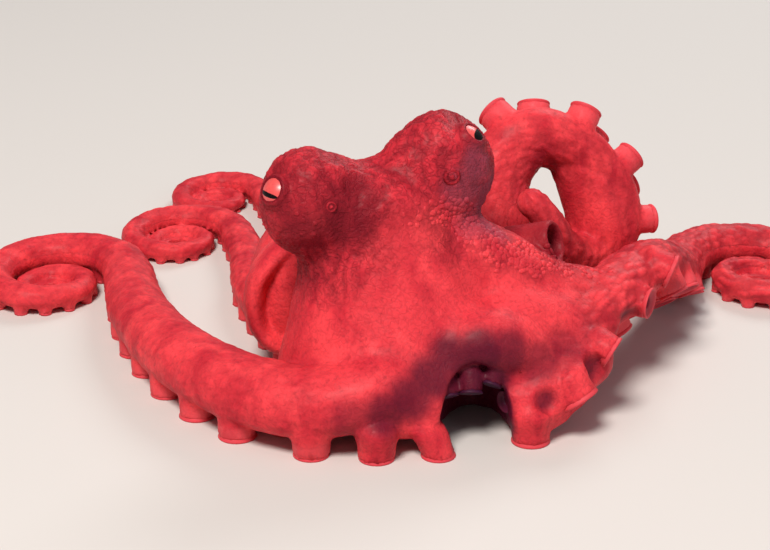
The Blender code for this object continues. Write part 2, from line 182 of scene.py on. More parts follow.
class Clay:
    """Closed forms pressed together, to be melted into one."""

    POLE = 0.999              # of the way to an ellipsoid's pole, where its last ring closes it

    def __init__(self) -> None:
        """Start with no forms."""
        self.corners: list[np.ndarray] = []
        self.faces: list[Sequence[int]] = []
        self.count = 0

    def add(self, corners: np.ndarray, faces: Iterable[Sequence[int]]) -> None:
        """Add a closed form.

        Args:
            corners: Its corners, one row each.
            faces: Its faces, which count its own corners.
        """
        self.faces += [[self.count + index for index in face] for face in faces]
        self.corners.append(corners)
        self.count += len(corners)

    def add_rings(self, rings: np.ndarray) -> None:
        """Skin over rings of points, with both ends closed.

        Args:
            rings: Points of each ring, as rings x sides x 3.
        """
        total, sides = rings.shape[:2]
        near = np.arange((total - 1) * sides).reshape(total - 1, sides)
        after = np.roll(near, -1, axis=1)
        quads = np.stack((near, after, after + sides, near + sides), axis=-1).reshape(-1, 4).tolist()
        ends = [list(range(sides))[::-1], list(range((total - 1) * sides, total * sides))]
        self.add(rings.reshape(-1, 3), quads + ends)

    def add_ellipsoid(self, centre: Sequence[float], radii: Sequence[float],
                      axes: Sequence[Sequence[float]] = ((1, 0, 0), (0, 1, 0), (0, 0, 1)),
                      sides: int = 32) -> None:
        """Add an ellipsoid.

        Args:
            centre: Its centre.
            radii: Its half widths along the three axes.
            axes: The axes' unit directions.
            sides: Points round its waist.
        """
        axes = np.asarray(axes, dtype=float)
        slopes = np.linspace(-0.5, 0.5, sides // 2 + 1) * math.pi * self.POLE
        self.add_rings(np.stack([
            ellipse_ring(np.asarray(centre) + axes[2] * radii[2] * math.sin(slope),
                         axes[0] * radii[0] * math.cos(slope), axes[1] * radii[1] * math.cos(slope), sides)
            for slope in slopes]))

    def add_object(self, source: bpy.types.Object) -> None:
        """Add a mesh object, and remove it.

        Args:
            source: The object, still in the layout.
        """
        mesh = source.data
        self.add(read_points(mesh), [list(face.vertices) for face in mesh.polygons])
        bpy.data.objects.remove(source)

    def cast(self, name: str, voxel: float, soften: int) -> bpy.types.Object:
        """Melt the forms into one closed surface, still in the layout.

        Args:
            name: The new object's name.
            voxel: Fineness of the surface.
            soften: Rounds of smoothing.

        Returns:
            The object.
        """
        mesh = bpy.data.meshes.new(name)
        mesh.from_pydata(np.vstack(self.corners).tolist(), [], self.faces)
        made = bpy.data.objects.new(name, mesh)
        bpy.context.scene.collection.objects.link(made)
        add_modifier(made, "REMESH", mode="VOXEL", voxel_size=voxel)
        add_modifier(made, "SMOOTH", factor=0.5, iterations=soften)
        return bake(made)


def read_points(mesh: bpy.types.Mesh) -> np.ndarray:
    """Read a mesh's points.

    Args:
        mesh: The mesh.

    Returns:
        Its points, one row each.
    """
    points = np.empty(len(mesh.vertices) * 3, dtype=np.float32)
    mesh.vertices.foreach_get("co", points)
    return points.reshape(-1, 3).astype(float)


def write_points(mesh: bpy.types.Mesh, points: np.ndarray) -> None:
    """Move a mesh's points."""
    mesh.vertices.foreach_set("co", points.astype(np.float32).ravel())
    mesh.update()


def write_field(mesh: bpy.types.Mesh, name: str, values: np.ndarray) -> None:
    """Store something for each point of a mesh.

    Args:
        mesh: The mesh.
        name: The attribute's name.
        values: One number, or one vector, for each point.
    """
    vector = values.ndim == 2
    attribute = mesh.attributes.new(name, "FLOAT_VECTOR" if vector else "FLOAT", "POINT")
    attribute.data.foreach_set("vector" if vector else "value", values.astype(np.float32).ravel())


def add_modifier(target: bpy.types.Object, kind: str, **settings: Any) -> bpy.types.Modifier:
    """Add a modifier.

    Args:
        target: The object.
        kind: The modifier's type.
        **settings: Its settings.

    Returns:
        The modifier.
    """
    added = target.modifiers.new(kind.lower(), kind)
    for key, value in settings.items():
        setattr(added, key, value)
    return added


def bake(target: bpy.types.Object) -> bpy.types.Object:
    """Turn an object's modifiers into its mesh.

    Args:
        target: The object.

    Returns:
        The same object, with a plain mesh and no modifiers.
    """
    bpy.context.view_layer.update()
    shaped = bpy.data.meshes.new_from_object(target.evaluated_get(bpy.context.evaluated_depsgraph_get()))
    target.modifiers.clear()
    target.data = shaped
    return target


def mesh_object(name: str, corners: np.ndarray, faces: Iterable[Sequence[int]]) -> bpy.types.Object:
    """Make a smooth-shaded object in the layout.

    Args:
        name: Its name.
        corners: Its corners, one row each.
        faces: Its faces, as numbers of corners.

    Returns:
        The object.
    """
    mesh = bpy.data.meshes.new(name)
    mesh.from_pydata(np.asarray(corners).tolist(), [], list(faces))
    mesh.shade_smooth()
    made = bpy.data.objects.new(name, mesh)
    bpy.context.scene.collection.objects.link(made)
    return made


Value = float | bpy.types.NodeSocket


class Nodes:
    """A node tree, with one way to add a node and the patterns that take several."""

    MEAN = 0.5                # of soft noise
    SPREAD = 0.85             # how unevenly the middles of cells lie
    FALL = 2.4                # by which a dome falls to 0 at the edge of its cell

    def __init__(self, tree: bpy.types.NodeTree, places: Places | None = None) -> None:
        """Work on a tree.

        Args:
            tree: The tree.
            places: Where its patterns read places, for a tree that has patterns.
        """
        self.tree = tree
        if places:
            kind, output, self.millimetre = places.value
            self.place = self.add(kind, output=output)

    def add(self, kind: str, *values: Any, inputs: dict[str | int, Any] | None = None,
            output: str | int = 0, **settings: Any) -> bpy.types.NodeSocket | None:
        """Add a node with its settings and links.

        Args:
            kind: The node's type.
            *values: Values, or sockets to link, for its first inputs.
            inputs: Values, or sockets to link, for other inputs, by name or number.
            output: The output that is wanted, by name or number.
            **settings: The node's own settings.

        Returns:
            That output, or None for a node that has no outputs.
        """
        node = self.tree.nodes.new(kind)
        for key, value in settings.items():
            setattr(node, key, value)
        for key, value in [*enumerate(values), *(inputs or {}).items()]:
            if isinstance(value, bpy.types.NodeSocket):
                self.tree.links.new(value, node.inputs[key])
            else:
                node.inputs[key].default_value = value
        return node.outputs[output] if node.outputs else None

    def frequency(self, size: float) -> float:
        """How many features of a size in millimetres lie along one unit of length."""
        return 1.0 / (size * self.millimetre)

    def creases(self, frequency: Value, sharp: float, place: bpy.types.NodeSocket | None = None,
                bend: float = 0.4) -> bpy.types.NodeSocket:
        """Winding lines, where soft noise crosses its mean.

        Args:
            frequency: How many lines cross one unit of length.
            sharp: How narrow a line is.
            place: Where to read the lines, if not at the tree's own places.
            bend: How far they wind.

        Returns:
            1 along the middle of a line, and 0 away from it.
        """
        wave = self.add(NOISE, inputs={"Vector": place or self.place, "Detail": 1.0,
                                       "Scale": frequency, "Distortion": bend})
        off = self.add(MATH, wave, self.MEAN, operation="SUBTRACT")
        off = self.add(MATH, self.add(MATH, off, operation="ABSOLUTE"), sharp, operation="MULTIPLY")
        return self.add(MATH, 1.0, off, operation="SUBTRACT", use_clamp=True)

    def domes(self, frequency: Value, place: bpy.types.NodeSocket) -> bpy.types.NodeSocket:
        """Round tops that lie side by side.

        Args:
            frequency: How many tops lie along one unit of length.
            place: Where to read them.

        Returns:
            1 in the middle of each cell, and 0 at its edge.
        """
        far = self.add("ShaderNodeTexVoronoi", feature="F1", output="Distance", inputs={
            "Vector": place, "Randomness": self.SPREAD, "Scale": frequency})
        fall = self.add(MATH, far, far, operation="MULTIPLY")
        fall = self.add(MATH, fall, self.FALL, operation="MULTIPLY")
        return self.add(MATH, 1.0, fall, operation="SUBTRACT", use_clamp=True)


# ----------------------------------------------------------------------------- the animal's layout

def way(x: float, y: float, lift: float = 0.0, oral: Sequence[float] = DOWN) -> np.ndarray:
    """A point on an arm's route: its place, its height off the floor and where its suckers face."""
    return np.array((x, y, lift, *oral), dtype=float)


@dataclass
class ArmLine:
    """An arm's middle line: places, directions and radii at even steps of its length."""

    places: np.ndarray
    aside: np.ndarray
    dorsal: np.ndarray
    radii: np.ndarray
    along: np.ndarray


@dataclass(frozen=True)
class Arm:
    """An arm's size and route.  Past the route the rest of its length lies in a flat coil."""

    name: str
    radius: float
    length: float
    route: tuple
    turn: int
    taper: float = 1.15
    tip: float = 1.5          # radius of its end
    scaly: float = 0.6        # how strongly scales show on its back
    rows: tuple[float, float] = (62.0, 1000.0)     # lengths along it between which its sucker rows run
    swells: tuple = ()        # path of balls that thicken a bend

    CROWN = (18, 60, 4)       # where the arms meet over the mouth, and how high
    WEB_EDGE = 70.0           # length along an arm at which it leaves the crown
    OVERLAP = 14.0            # by which it starts inside the crown
    ROOT = 8.0                # by which its root starts off the middle, and ends past the web's edge
    TOP = 0.92                # height of the section over the middle line, in radii
    BOTTOM = 0.62             # and under it
    FLATNESS = 0.8            # power that flattens the section below
    SUCKER_HEIGHT = 0.30      # in radii
    STEP = 2.0                # between points of the middle line
    COIL_PITCH = 2.3          # from turn to turn of the coil, in radii
    COIL_HEART = 5.0          # radius of its innermost turn
    COIL_EASE = 0.7           # of its widest radius, over which it starts to bend
    TIP_BALL = 0.9            # radius of the ball that rounds the tip, in radii

    def radius_at(self, along: np.ndarray | float) -> np.ndarray:
        """Half the arm's width at a length along it."""
        share = np.clip(np.asarray(along, dtype=float) / self.length, 0.0, 1.0)
        return self.tip + (self.radius - self.tip) * (1 - share ** self.taper)

    def coil(self, start: np.ndarray, heading: float, along: float) -> np.ndarray:
        """Points of the flat coil that holds the arm's end, its turns side by side.

        Args:
            start: Where the coil begins.
            heading: Its direction there, as an angle.
            along: Length along the arm there.

        Returns:
            Rows of places, lifts and sucker directions.
        """
        lengths = np.arange(along + self.STEP, self.length, self.STEP)
        used = np.cumsum(self.COIL_PITCH * self.radius_at(lengths) * self.STEP) / math.pi
        smallest = self.COIL_HEART
        widest = math.sqrt(used[-1] + smallest ** 2)
        points, place = [], np.array(start, dtype=float)
        for index, area in enumerate(used):
            bend = math.sqrt(max(smallest ** 2, widest ** 2 - area))
            ease = min(1.0, index * self.STEP / (self.COIL_EASE * widest))
            heading += self.turn * ease * self.STEP / bend
            place = place + self.STEP * np.array((math.cos(heading), math.sin(heading)))
            points.append((*place, 0.0, *DOWN))
        return np.array(points)

    def line(self) -> ArmLine:
        """Work out the arm's middle line.

        Returns:
            The line, from over the mouth to the tip.
        """
        curve = smooth_line((way(*self.CROWN),) + self.route)
        run = np.concatenate(([0.0], np.cumsum(np.linalg.norm(np.diff(curve[:, :3], axis=0), axis=1))))
        even = np.arange(0.0, min(run[-1], self.length), self.STEP)
        rows = np.stack([np.interp(even, run, curve[:, column]) for column in range(6)], axis=1)
        if self.turn:
            heading = math.atan2(*(rows[-1, :2] - rows[-3, :2])[::-1])
            rows = np.vstack((rows, self.coil(rows[-1, :2], heading, even[-1])))
        along = np.arange(len(rows)) * self.STEP
        radii = self.radius_at(along)
        places = rows[:, :3].copy()
        places[:, 2] += radii * (self.BOTTOM + self.SUCKER_HEIGHT)
        ahead = np.gradient(places, axis=0)
        ahead /= np.linalg.norm(ahead, axis=1)[:, None]
        dorsal = -rows[:, 3:6]
        dorsal -= ahead * np.sum(dorsal * ahead, axis=1)[:, None]
        dorsal /= np.linalg.norm(dorsal, axis=1)[:, None]
        return ArmLine(places, np.cross(ahead, dorsal), dorsal, radii, along)

    def rings(self, line: ArmLine, start: float, end: float, sides: int = 28) -> np.ndarray:
        """Sections along a stretch of the arm: round above, flatter where the suckers are.

        Args:
            line: The arm's middle line.
            start: Length along the arm at which the stretch begins.
            end: Length at which it ends.
            sides: Points of a section.

        Returns:
            Points as sections x sides x 3, none of them below the floor.
        """
        angles = (np.arange(sides) + 0.5) * 2 * math.pi / sides - math.pi / 2
        across, height = np.cos(angles), np.sin(angles)
        height = np.where(height > 0, self.TOP * height, -self.BOTTOM * np.abs(height) ** self.FLATNESS)
        kept = (line.along >= start) & (line.along <= end)
        radii = line.radii[kept][:, None, None]
        rings = line.places[kept][:, None] + radii * (
            line.aside[kept][:, None] * across[None, :, None]
            + line.dorsal[kept][:, None] * height[None, :, None])
        rings[..., 2] = np.maximum(rings[..., 2], 0.0)
        return rings

    def press(self, clay: Clay, line: ArmLine) -> None:
        """Add the arm beyond the crown to the clay, with a round tip.

        Args:
            clay: What to add it to.
            line: The arm's middle line.
        """
        clay.add_rings(self.rings(line, self.WEB_EDGE - self.OVERLAP, self.length))
        clay.add_ellipsoid(line.places[-1], (self.TIP_BALL * line.radii[-1],) * 3, sides=12)
        if self.swells:
            for x, y, z, radius in smooth_line(self.swells, 6):
                clay.add_ellipsoid((x, y, z), (radius,) * 3, sides=20)


FRONT = 24.0                  # mm, radius of the two front arms at their root
REAR = 17.0                   # and of most others
ARMS = (
    Arm("arm_right_1", FRONT, 650, turn=1, scaly=0.45, route=(
        way(2, 30, 6), way(-34, 25), way(-65, 40), way(-89, 65), way(-109, 95), way(-125, 130),
        way(-137, 166), way(-145, 207))),
    Arm("arm_right_2", REAR, 560, turn=1, route=(
        way(-4, 74), way(-24, 91), way(-42, 118), way(-60, 155), way(-74, 200), way(-80, 250),
        way(-88, 285))),
    Arm("arm_right_3", REAR, 560, turn=1, route=(
        way(-8, 88), way(-23, 116), way(-33, 152), way(-45, 200), way(-54, 250), way(-62, 310),
        way(-76, 360))),
    Arm("arm_right_4", REAR, 560, turn=1, route=(
        way(4, 92), way(-2, 122), way(-6, 160), way(-17, 210), way(-20, 260), way(2, 315))),
    Arm("arm_left_4", REAR, 560, turn=-1, route=(
        way(29, 90), way(31, 120), way(25, 155), way(13, 200), way(14, 250), way(28, 320))),
    Arm("arm_left_3", 22.0, 412, turn=0, taper=3.2, tip=7.0, rows=(120, 290), swells=(
        (106, 192, 90, 17), (114, 191, 76, 19), (119, 190, 62, 20.5), (120, 188, 50, 20),
        (118, 184, 38, 17)), route=(
        way(49, 86), way(66, 112), way(67, 138, 4, (0, 0.4, -1)), way(60, 162, 36, (-0.4, 0.8, -0.2)),
        way(60, 178, 68, (-0.5, 0.8, 0.2)), way(80, 190, 88, (0, 0.6, 0.8)),
        way(108, 194, 76, (0.5, 0.5, 0.6)), way(128, 193, 48, (0.9, 0.4, 0)),
        way(127, 189, 30, (0.9, 0.3, -0.2)), way(114, 179, 25, (0.3, 0.2, -0.9)),
        way(102, 165, 30, (-0.5, 0, -0.8)), way(93, 152, 43, (-0.9, 0, -0.3)),
        way(86, 142, 60, (-1, 0, 0)), way(77, 138, 77, (-1, 0, 0.2)))),
    Arm("arm_left_2", REAR, 560, turn=1, route=(
        way(55, 80), way(79, 104), way(96, 128), way(107, 155), way(110, 185), way(109, 210))),
    Arm("arm_left_1", FRONT, 650, turn=-1, scaly=1.0, route=(
        way(46, 46, 22, (0, -0.3, -1)), way(66, 52, 14, (0.1, -0.4, -0.9)), way(86, 64, 5, (0.2, -0.4, -0.9)),
        way(107, 88, 21, (0.3, -0.4, -0.85)), way(127, 118, 29, (0.45, -0.3, -0.85)),
        way(143, 149, 26, (0.5, -0.2, -0.85)), way(156, 181, 13, (0.45, 0, -0.9)),
        way(166, 218, 0, (0.2, 0, -1)))),
)


@dataclass(frozen=True)
class Eye:
    """Where one eye sits: its centre, where it looks, and the directions across and up its face."""

    side: Sides
    centre: np.ndarray
    aim: np.ndarray
    across: np.ndarray
    up: np.ndarray


@dataclass
class Head:
    """Two raised eye turrets with a saddle between, over the neck and the crown of arms."""

    centre: tuple[float, float, float] = (-4.0, 80.0, 116.0)
    yaw: float = math.radians(19.0)
    roll: float = math.radians(8.5)
    spacing: float = 71.0     # between the middles of the turrets
    brow_inset: float = 13.0  # of each brow towards the saddle
    brow_share: float = 0.80  # of a turret's radii
    eye_radius: float = 9.5
    packed_proud: float = 1.6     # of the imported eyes, over the turrets
    packed_aim: tuple[float, float, float] = (0.80, 0.42, 0.62)
    # By side: how far the eye stands proud, where it looks, its opening's half width and its height
    # above and below, and its pupil's half length, half height and tilt.
    eye_proud: dict[Sides, float] = field(default_factory=lambda: {Sides.RIGHT: 1.6, Sides.LEFT: -0.6})
    eye_aim: dict[Sides, tuple[float, float, float]] = field(default_factory=lambda: {
        Sides.RIGHT: (0.84, 0.36, 0.62), Sides.LEFT: (0.67, 0.50, 0.80)})
    openings: dict[Sides, tuple[float, float, float]] = field(default_factory=lambda: {
        Sides.RIGHT: (6.4, 6.3, 5.4), Sides.LEFT: (4.9, 5.4, 4.8)})
    pupils: dict[Sides, tuple[tuple[float, float], float]] = field(default_factory=lambda: {
        Sides.RIGHT: ((6.2, 1.15), math.radians(6.0)), Sides.LEFT: ((4.8, 3.0), math.radians(4.0))})
    saddle_radii: tuple[float, float, float] = (46, 30, 25)
    saddle_drop: float = 12.0     # of its middle below the line between the turrets
    turret_radii: dict[Sides, tuple[float, float, float]] = field(default_factory=lambda: {
        Sides.RIGHT: (24.5, 24.0, 27.5), Sides.LEFT: (27.0, 25.0, 31.0)})
    turret_growth: dict[Sides, float] = field(default_factory=lambda: {Sides.RIGHT: 1.06, Sides.LEFT: 0.99})
    # Up the neck: height, X, Y, and half its width and depth.
    neck: tuple = ((108, -4, 82, 36, 28), (95, -2, 80, 41, 33), (70, 2, 76, 47, 40), (45, 8, 70, 58, 48),
                   (25, 14, 64, 69, 56), (12, 14, 64, 73, 57), (7, 14, 66, 68, 50), (2, 14, 68, 58, 42))
    # Balls that fill out the flesh: their centres and radii.
    fold: tuple = ((34, 84, 74, 27), (56, 86, 64, 25), (80, 90, 50, 22), (104, 102, 44, 19))
    web: tuple = ((62, 66, 44, 26), (84, 72, 38, 24), (102, 86, 40, 18), (116, 104, 46, 13))
    pillar: tuple = ((73, 33, 16, 14), (81, 38, 20, 15), (91, 46, 26, 15), (102, 58, 32, 14))
    gap_centre: tuple[float, float, float] = (44, 18, 10)
    gap_radii: tuple[float, float, float] = (18, 46, 33)
    gap_front: float = 6.0    # depth of the web's face at the floor beside the gap
    gap_slope: float = 0.45   # by which that face leans back with its height
    soften: tuple[int, int] = (24, 10)      # rounds of smoothing, before the gap is cut and after

    FACING = 0.2              # least cosine to an eye's aim at which a point can lie in its opening
    BEYOND = 99.0             # mm, for a point that can't

    def axes(self) -> np.ndarray:
        """Work out the head's own directions.

        Returns:
            Unit directions to the animal's left, forward and up.
        """
        across = unit((math.cos(self.yaw), math.sin(self.yaw), math.tan(self.roll)))
        forward = -unit(np.cross(UPRIGHT, across))
        up = np.cross(forward, across)
        return np.array((across, forward, up * np.sign(up[2])))

    def turret(self, side: Sides) -> np.ndarray:
        """Centre of one eye turret."""
        return np.array(self.centre) + self.axes()[0] * side.value * self.spacing / 2

    def eye(self, side: Sides, packed: bool = False) -> Eye:
        """Where the eye on one side sits.

        Args:
            side: The side.
            packed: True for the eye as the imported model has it.

        Returns:
            The eye.
        """
        axes = self.axes()
        aim = unit(np.array(self.packed_aim if packed else self.eye_aim[side]) * (side.value, 1, 1) @ axes)
        reach = 1 / np.linalg.norm(axes @ aim / self.turret_radii[side])
        if packed:
            reach += self.packed_proud
        else:
            reach = reach * self.turret_growth[side] + self.eye_proud[side]
        centre = self.turret(side) + aim * (reach - self.eye_radius)
        across = unit(np.cross(aim, axes[2]))
        return Eye(side, centre, aim, across, np.cross(across, aim))

    def lid_edge(self, side: Sides, points: np.ndarray) -> np.ndarray:
        """How far points lie outside the opening of an eye.

        Args:
            side: The eye's side.
            points: Places in the layout.

        Returns:
            Millimetres along the ball, below 0 inside the opening.
        """
        eye = self.eye(side)
        away = points - eye.centre
        ray = away / np.linalg.norm(away, axis=1)[:, None]
        x, y = self.eye_radius * ray @ eye.across, self.eye_radius * ray @ eye.up
        wide, above, below = self.openings[side]
        edge = (np.hypot(x / wide, y / np.where(y > 0, above, below)) - 1.0) * wide
        return np.where(ray @ eye.aim > self.FACING, edge, self.BEYOND)

    def press(self, lines: dict[str, ArmLine]) -> bpy.types.Object:
        """The head, neck and crown of arms, softly melted and with the gap between the front arms.

        Args:
            lines: The arms' middle lines by name, for the roots that the crown holds.

        Returns:
            The body, still in the layout.
        """
        axes = self.axes()
        clay = Clay()
        for x, y, z, radius in self.pillar:
            clay.add_ellipsoid((x, y, z), (radius, radius, 1.2 * radius), sides=24)
        for side, radii in self.turret_radii.items():
            inset = axes[0] * side.value * self.brow_inset
            clay.add_ellipsoid(self.turret(side), np.array(radii) * self.turret_growth[side], axes)
            clay.add_ellipsoid(self.turret(side) - inset, np.array(radii) * self.brow_share, axes)
        clay.add_ellipsoid(np.array(self.centre) - axes[2] * self.saddle_drop, self.saddle_radii, axes)
        clay.add_rings(np.stack([ellipse_ring((x, y, z), (wide, 0, 0), (0, deep, 0), 48)
                                 for z, x, y, wide, deep in self.neck]))
        for x, y, z, radius in np.vstack((smooth_line(self.fold, 6), smooth_line(self.web, 6))):
            clay.add_ellipsoid((x, y, z), (radius,) * 3, sides=20)
        for arm in ARMS:
            clay.add_rings(arm.rings(lines[arm.name], Arm.ROOT, Arm.WEB_EDGE + Arm.ROOT))
        core = clay.cast("core", CORE_VOXEL, soften=self.soften[0])
        gap = Clay()
        gap.add_ellipsoid(self.gap_centre, self.gap_radii)
        cutter = mesh_object("gap", np.vstack(gap.corners), gap.faces)
        add_modifier(core, "BOOLEAN", object=cutter, operation="DIFFERENCE", solver="EXACT")
        add_modifier(core, "REMESH", mode="VOXEL", voxel_size=CORE_VOXEL)
        add_modifier(core, "SMOOTH", factor=0.5, iterations=self.soften[1])
        bake(core)
        bpy.data.objects.remove(cutter)
        return core


@dataclass
class Mantle:
    """The sac behind the head, the rolled edge of its opening and the collar inside that."""

    rings: tuple = (          # along Y: Y, X, height of the underside, and half its width and height
        (96, -6, 40, 28, 20), (108, -8, 30, 40, 28), (122, -10, 27.5, 45, 33), (145, -11, 26.5, 46, 35),
        (168, -10, 25, 46, 33), (192, -8, 24, 44, 28.5), (216, -5, 23, 39, 22.5), (240, -2, 22.5, 29, 16),
        (256, 0, 23.5, 16, 9))
    lip: tuple = (            # path of the rolled edge, from over the collar to under it
        (-35, 117, 77), (-53, 113, 66), (-65, 110, 52), (-68, 109, 38), (-66, 108, 26), (-61, 107, 19),
        (-52, 108, 14), (-40, 112, 13))
    lip_thickness: float = 6.2
    lip_depth: float = 15.0
    lip_setback: float = 0.7  # of its middle behind its path, in lip depths
    collar_centre: tuple[float, float, float] = (-46, 118, 43)
    collar_radii: tuple[float, float, float] = (15.5, 12, 36)
    collar_lean: float = math.radians(14.0)
    wall_centre: tuple[float, float, float] = (-50, 143, 45)
    wall_radii: tuple[float, float, float] = (22, 27, 35)

    def press(self, clay: Clay) -> None:
        """Add the mantle's forms to the clay.

        Args:
            clay: What to add them to.
        """
        rows = smooth_line([(x, y, low + tall, wide, tall) for y, x, low, wide, tall in self.rings], 6)
        clay.add_rings(np.stack([ellipse_ring((x, y, z), (wide, 0, 0), (0, 0, tall), 48)
                                 for x, y, z, wide, tall in rows]))
        edge = smooth_line(self.lip, 10)
        outward = np.cross(np.gradient(edge, axis=0), (0.0, 1.0, 0.0))
        outward /= np.linalg.norm(outward, axis=1)[:, None]
        reach = np.array((0, self.lip_depth, 0))
        middles = edge + self.lip_setback * reach
        clay.add_rings(np.stack([ellipse_ring(middle, out * self.lip_thickness, reach, 28)
                                 for middle, out in zip(middles, outward)]))
        lean, rise = math.sin(self.collar_lean), math.cos(self.collar_lean)
        axes = ((rise, 0, -lean), (0, 1, 0), (lean, 0, rise))
        clay.add_ellipsoid(self.collar_centre, self.collar_radii, axes)
        clay.add_ellipsoid(self.wall_centre, self.wall_radii, axes)


@dataclass
class Funnel:
    """The siphon: a short tapered tube that opens to the animal's left."""

    axis: tuple = ((40, 108, 58), (62, 114, 66), (87, 105, 76))
    radii: tuple[float, float, float] = (15.5, 13.2, 11.3)
    bore: float = 8.5
    bore_depth: float = 18.0
    bore_taper: float = 0.1   # loss of its radius with its depth
    bore_margin: tuple[float, float] = (1.6, 3.0)     # round it and past its end, that still counts as inside
    steps: int = 7            # in the rim's roll, and down the bore

    def inside(self, points: np.ndarray) -> np.ndarray:
        """How far each point lies within the bore.

        Args:
            points: Places in the layout.

        Returns:
            1 inside and 0 outside.
        """
        ahead = unit(np.subtract(self.axis[2], self.axis[1]))
        away = points - np.array(self.axis[2])
        depth = away @ ahead
        off = np.linalg.norm(away - depth[:, None] * ahead, axis=1)
        aside, past = self.bore_margin
        return smooth_step(self.bore + aside, self.bore, off) * (np.abs(depth) < self.bore_depth + past)

    def press(self, clay: Clay) -> None:
        """Add the funnel to the clay: out along its wall, over its rim and back down its bore.

        Args:
            clay: What to add it to.
        """
        axis = smooth_line(self.axis, 8)
        radii = np.interp(np.linspace(0, 1, len(axis)), (0, 0.5, 1), self.radii)
        ahead = np.gradient(axis, axis=0)
        ahead /= np.linalg.norm(ahead, axis=1)[:, None]
        side, up = level_frame(ahead)
        rings = [ellipse_ring(p, s * r, u * r) for p, s, u, r in zip(axis, side, up, radii)]
        rim = self.radii[-1] - self.bore
        for turn in np.linspace(0, math.pi, self.steps)[1:]:
            radius = self.bore + rim / 2 * (1 + math.cos(turn))
            rings.append(ellipse_ring(axis[-1] + ahead[-1] * rim / 2 * math.sin(turn), side[-1] * radius,
                                      up[-1] * radius))
        for depth in np.linspace(0, self.bore_depth, self.steps)[1:]:
            radius = self.bore - self.bore_taper * depth
            rings.append(ellipse_ring(axis[-1] - ahead[-1] * depth, side[-1] * radius, up[-1] * radius))
        clay.add_rings(np.stack(rings))


def new_geometry_tree(name: str, **inputs: str) -> bpy.types.NodeTree:
    """Make a geometry tree that takes and gives geometry.

    Args:
        name: Its name.
        **inputs: The kind of socket of each further input, by name.

    Returns:
        The tree, with its inputs and its output.
    """
    tree = bpy.data.node_groups.new(name, "GeometryNodeTree")
    for label, kind in ({"Geometry": "NodeSocketGeometry"} | inputs).items():
        tree.interface.new_socket(label.replace("_", " "), in_out="INPUT", socket_type=kind)
    tree.interface.new_socket("Geometry", in_out="OUTPUT", socket_type="NodeSocketGeometry")
    return tree


def finish_tree(nodes: Nodes, geometry: bpy.types.NodeSocket, finish: bpy.types.NodeSocket) -> None:
    """End a tree: its instances become mesh and take their material.

    Args:
        nodes: The tree's nodes.
        geometry: What it has made.
        finish: The material.
    """
    real = nodes.add("GeometryNodeRealizeInstances", inputs={"Geometry": geometry})
    dressed = nodes.add("GeometryNodeSetMaterial", inputs={"Geometry": real, "Material": finish})
    nodes.add("NodeGroupOutput", inputs={"Geometry": dressed})


def grow(target: bpy.types.Object, tree: bpy.types.NodeTree, **inputs: Any) -> bpy.types.Object:
    """Run a tree on an object, and turn the result into the object's mesh.

    Args:
        target: The object.
        tree: The tree.
        **inputs: Values for the tree's inputs, by name.

    Returns:
        The same object.
    """
    added = add_modifier(target, "NODES", node_group=tree)
    sockets = {item.name: item.identifier for item in tree.interface.items_tree if item.in_out == "INPUT"}
    for label, value in inputs.items():
        added[sockets[label.replace("_", " ")]] = value
    return bake(target)


# ----------------------------------------------------------------------------- suckers

@dataclass(frozen=True)
class Sucker:
    """One sucker: the middle of its rim, the way it faces, its rim's radius, its root and how far painted
    shade darkens it.
    """

    rim: np.ndarray
    facing: np.ndarray
    radius: float
    root: np.ndarray | None = None
    painted_shade: float = 0.0


def lone_sucker(place: Sequence[float], facing: Sequence[float], radius: float,
                root: Sequence[float] | None = None, painted_shade: float = 0.0) -> Sucker:
    """A sucker that stands out of the rows.

    Args:
        place: The middle of its rim.
        facing: The way it faces.
        radius: Its rim's radius.
        root: Where its stalk comes from, if not from straight behind.
        painted_shade: How far painted shade darkens it.

    Returns:
        The sucker.
    """
    start = None if root is None else np.array(root)
    return Sucker(np.array(place, dtype=float), unit(facing), radius, start, painted_shade)


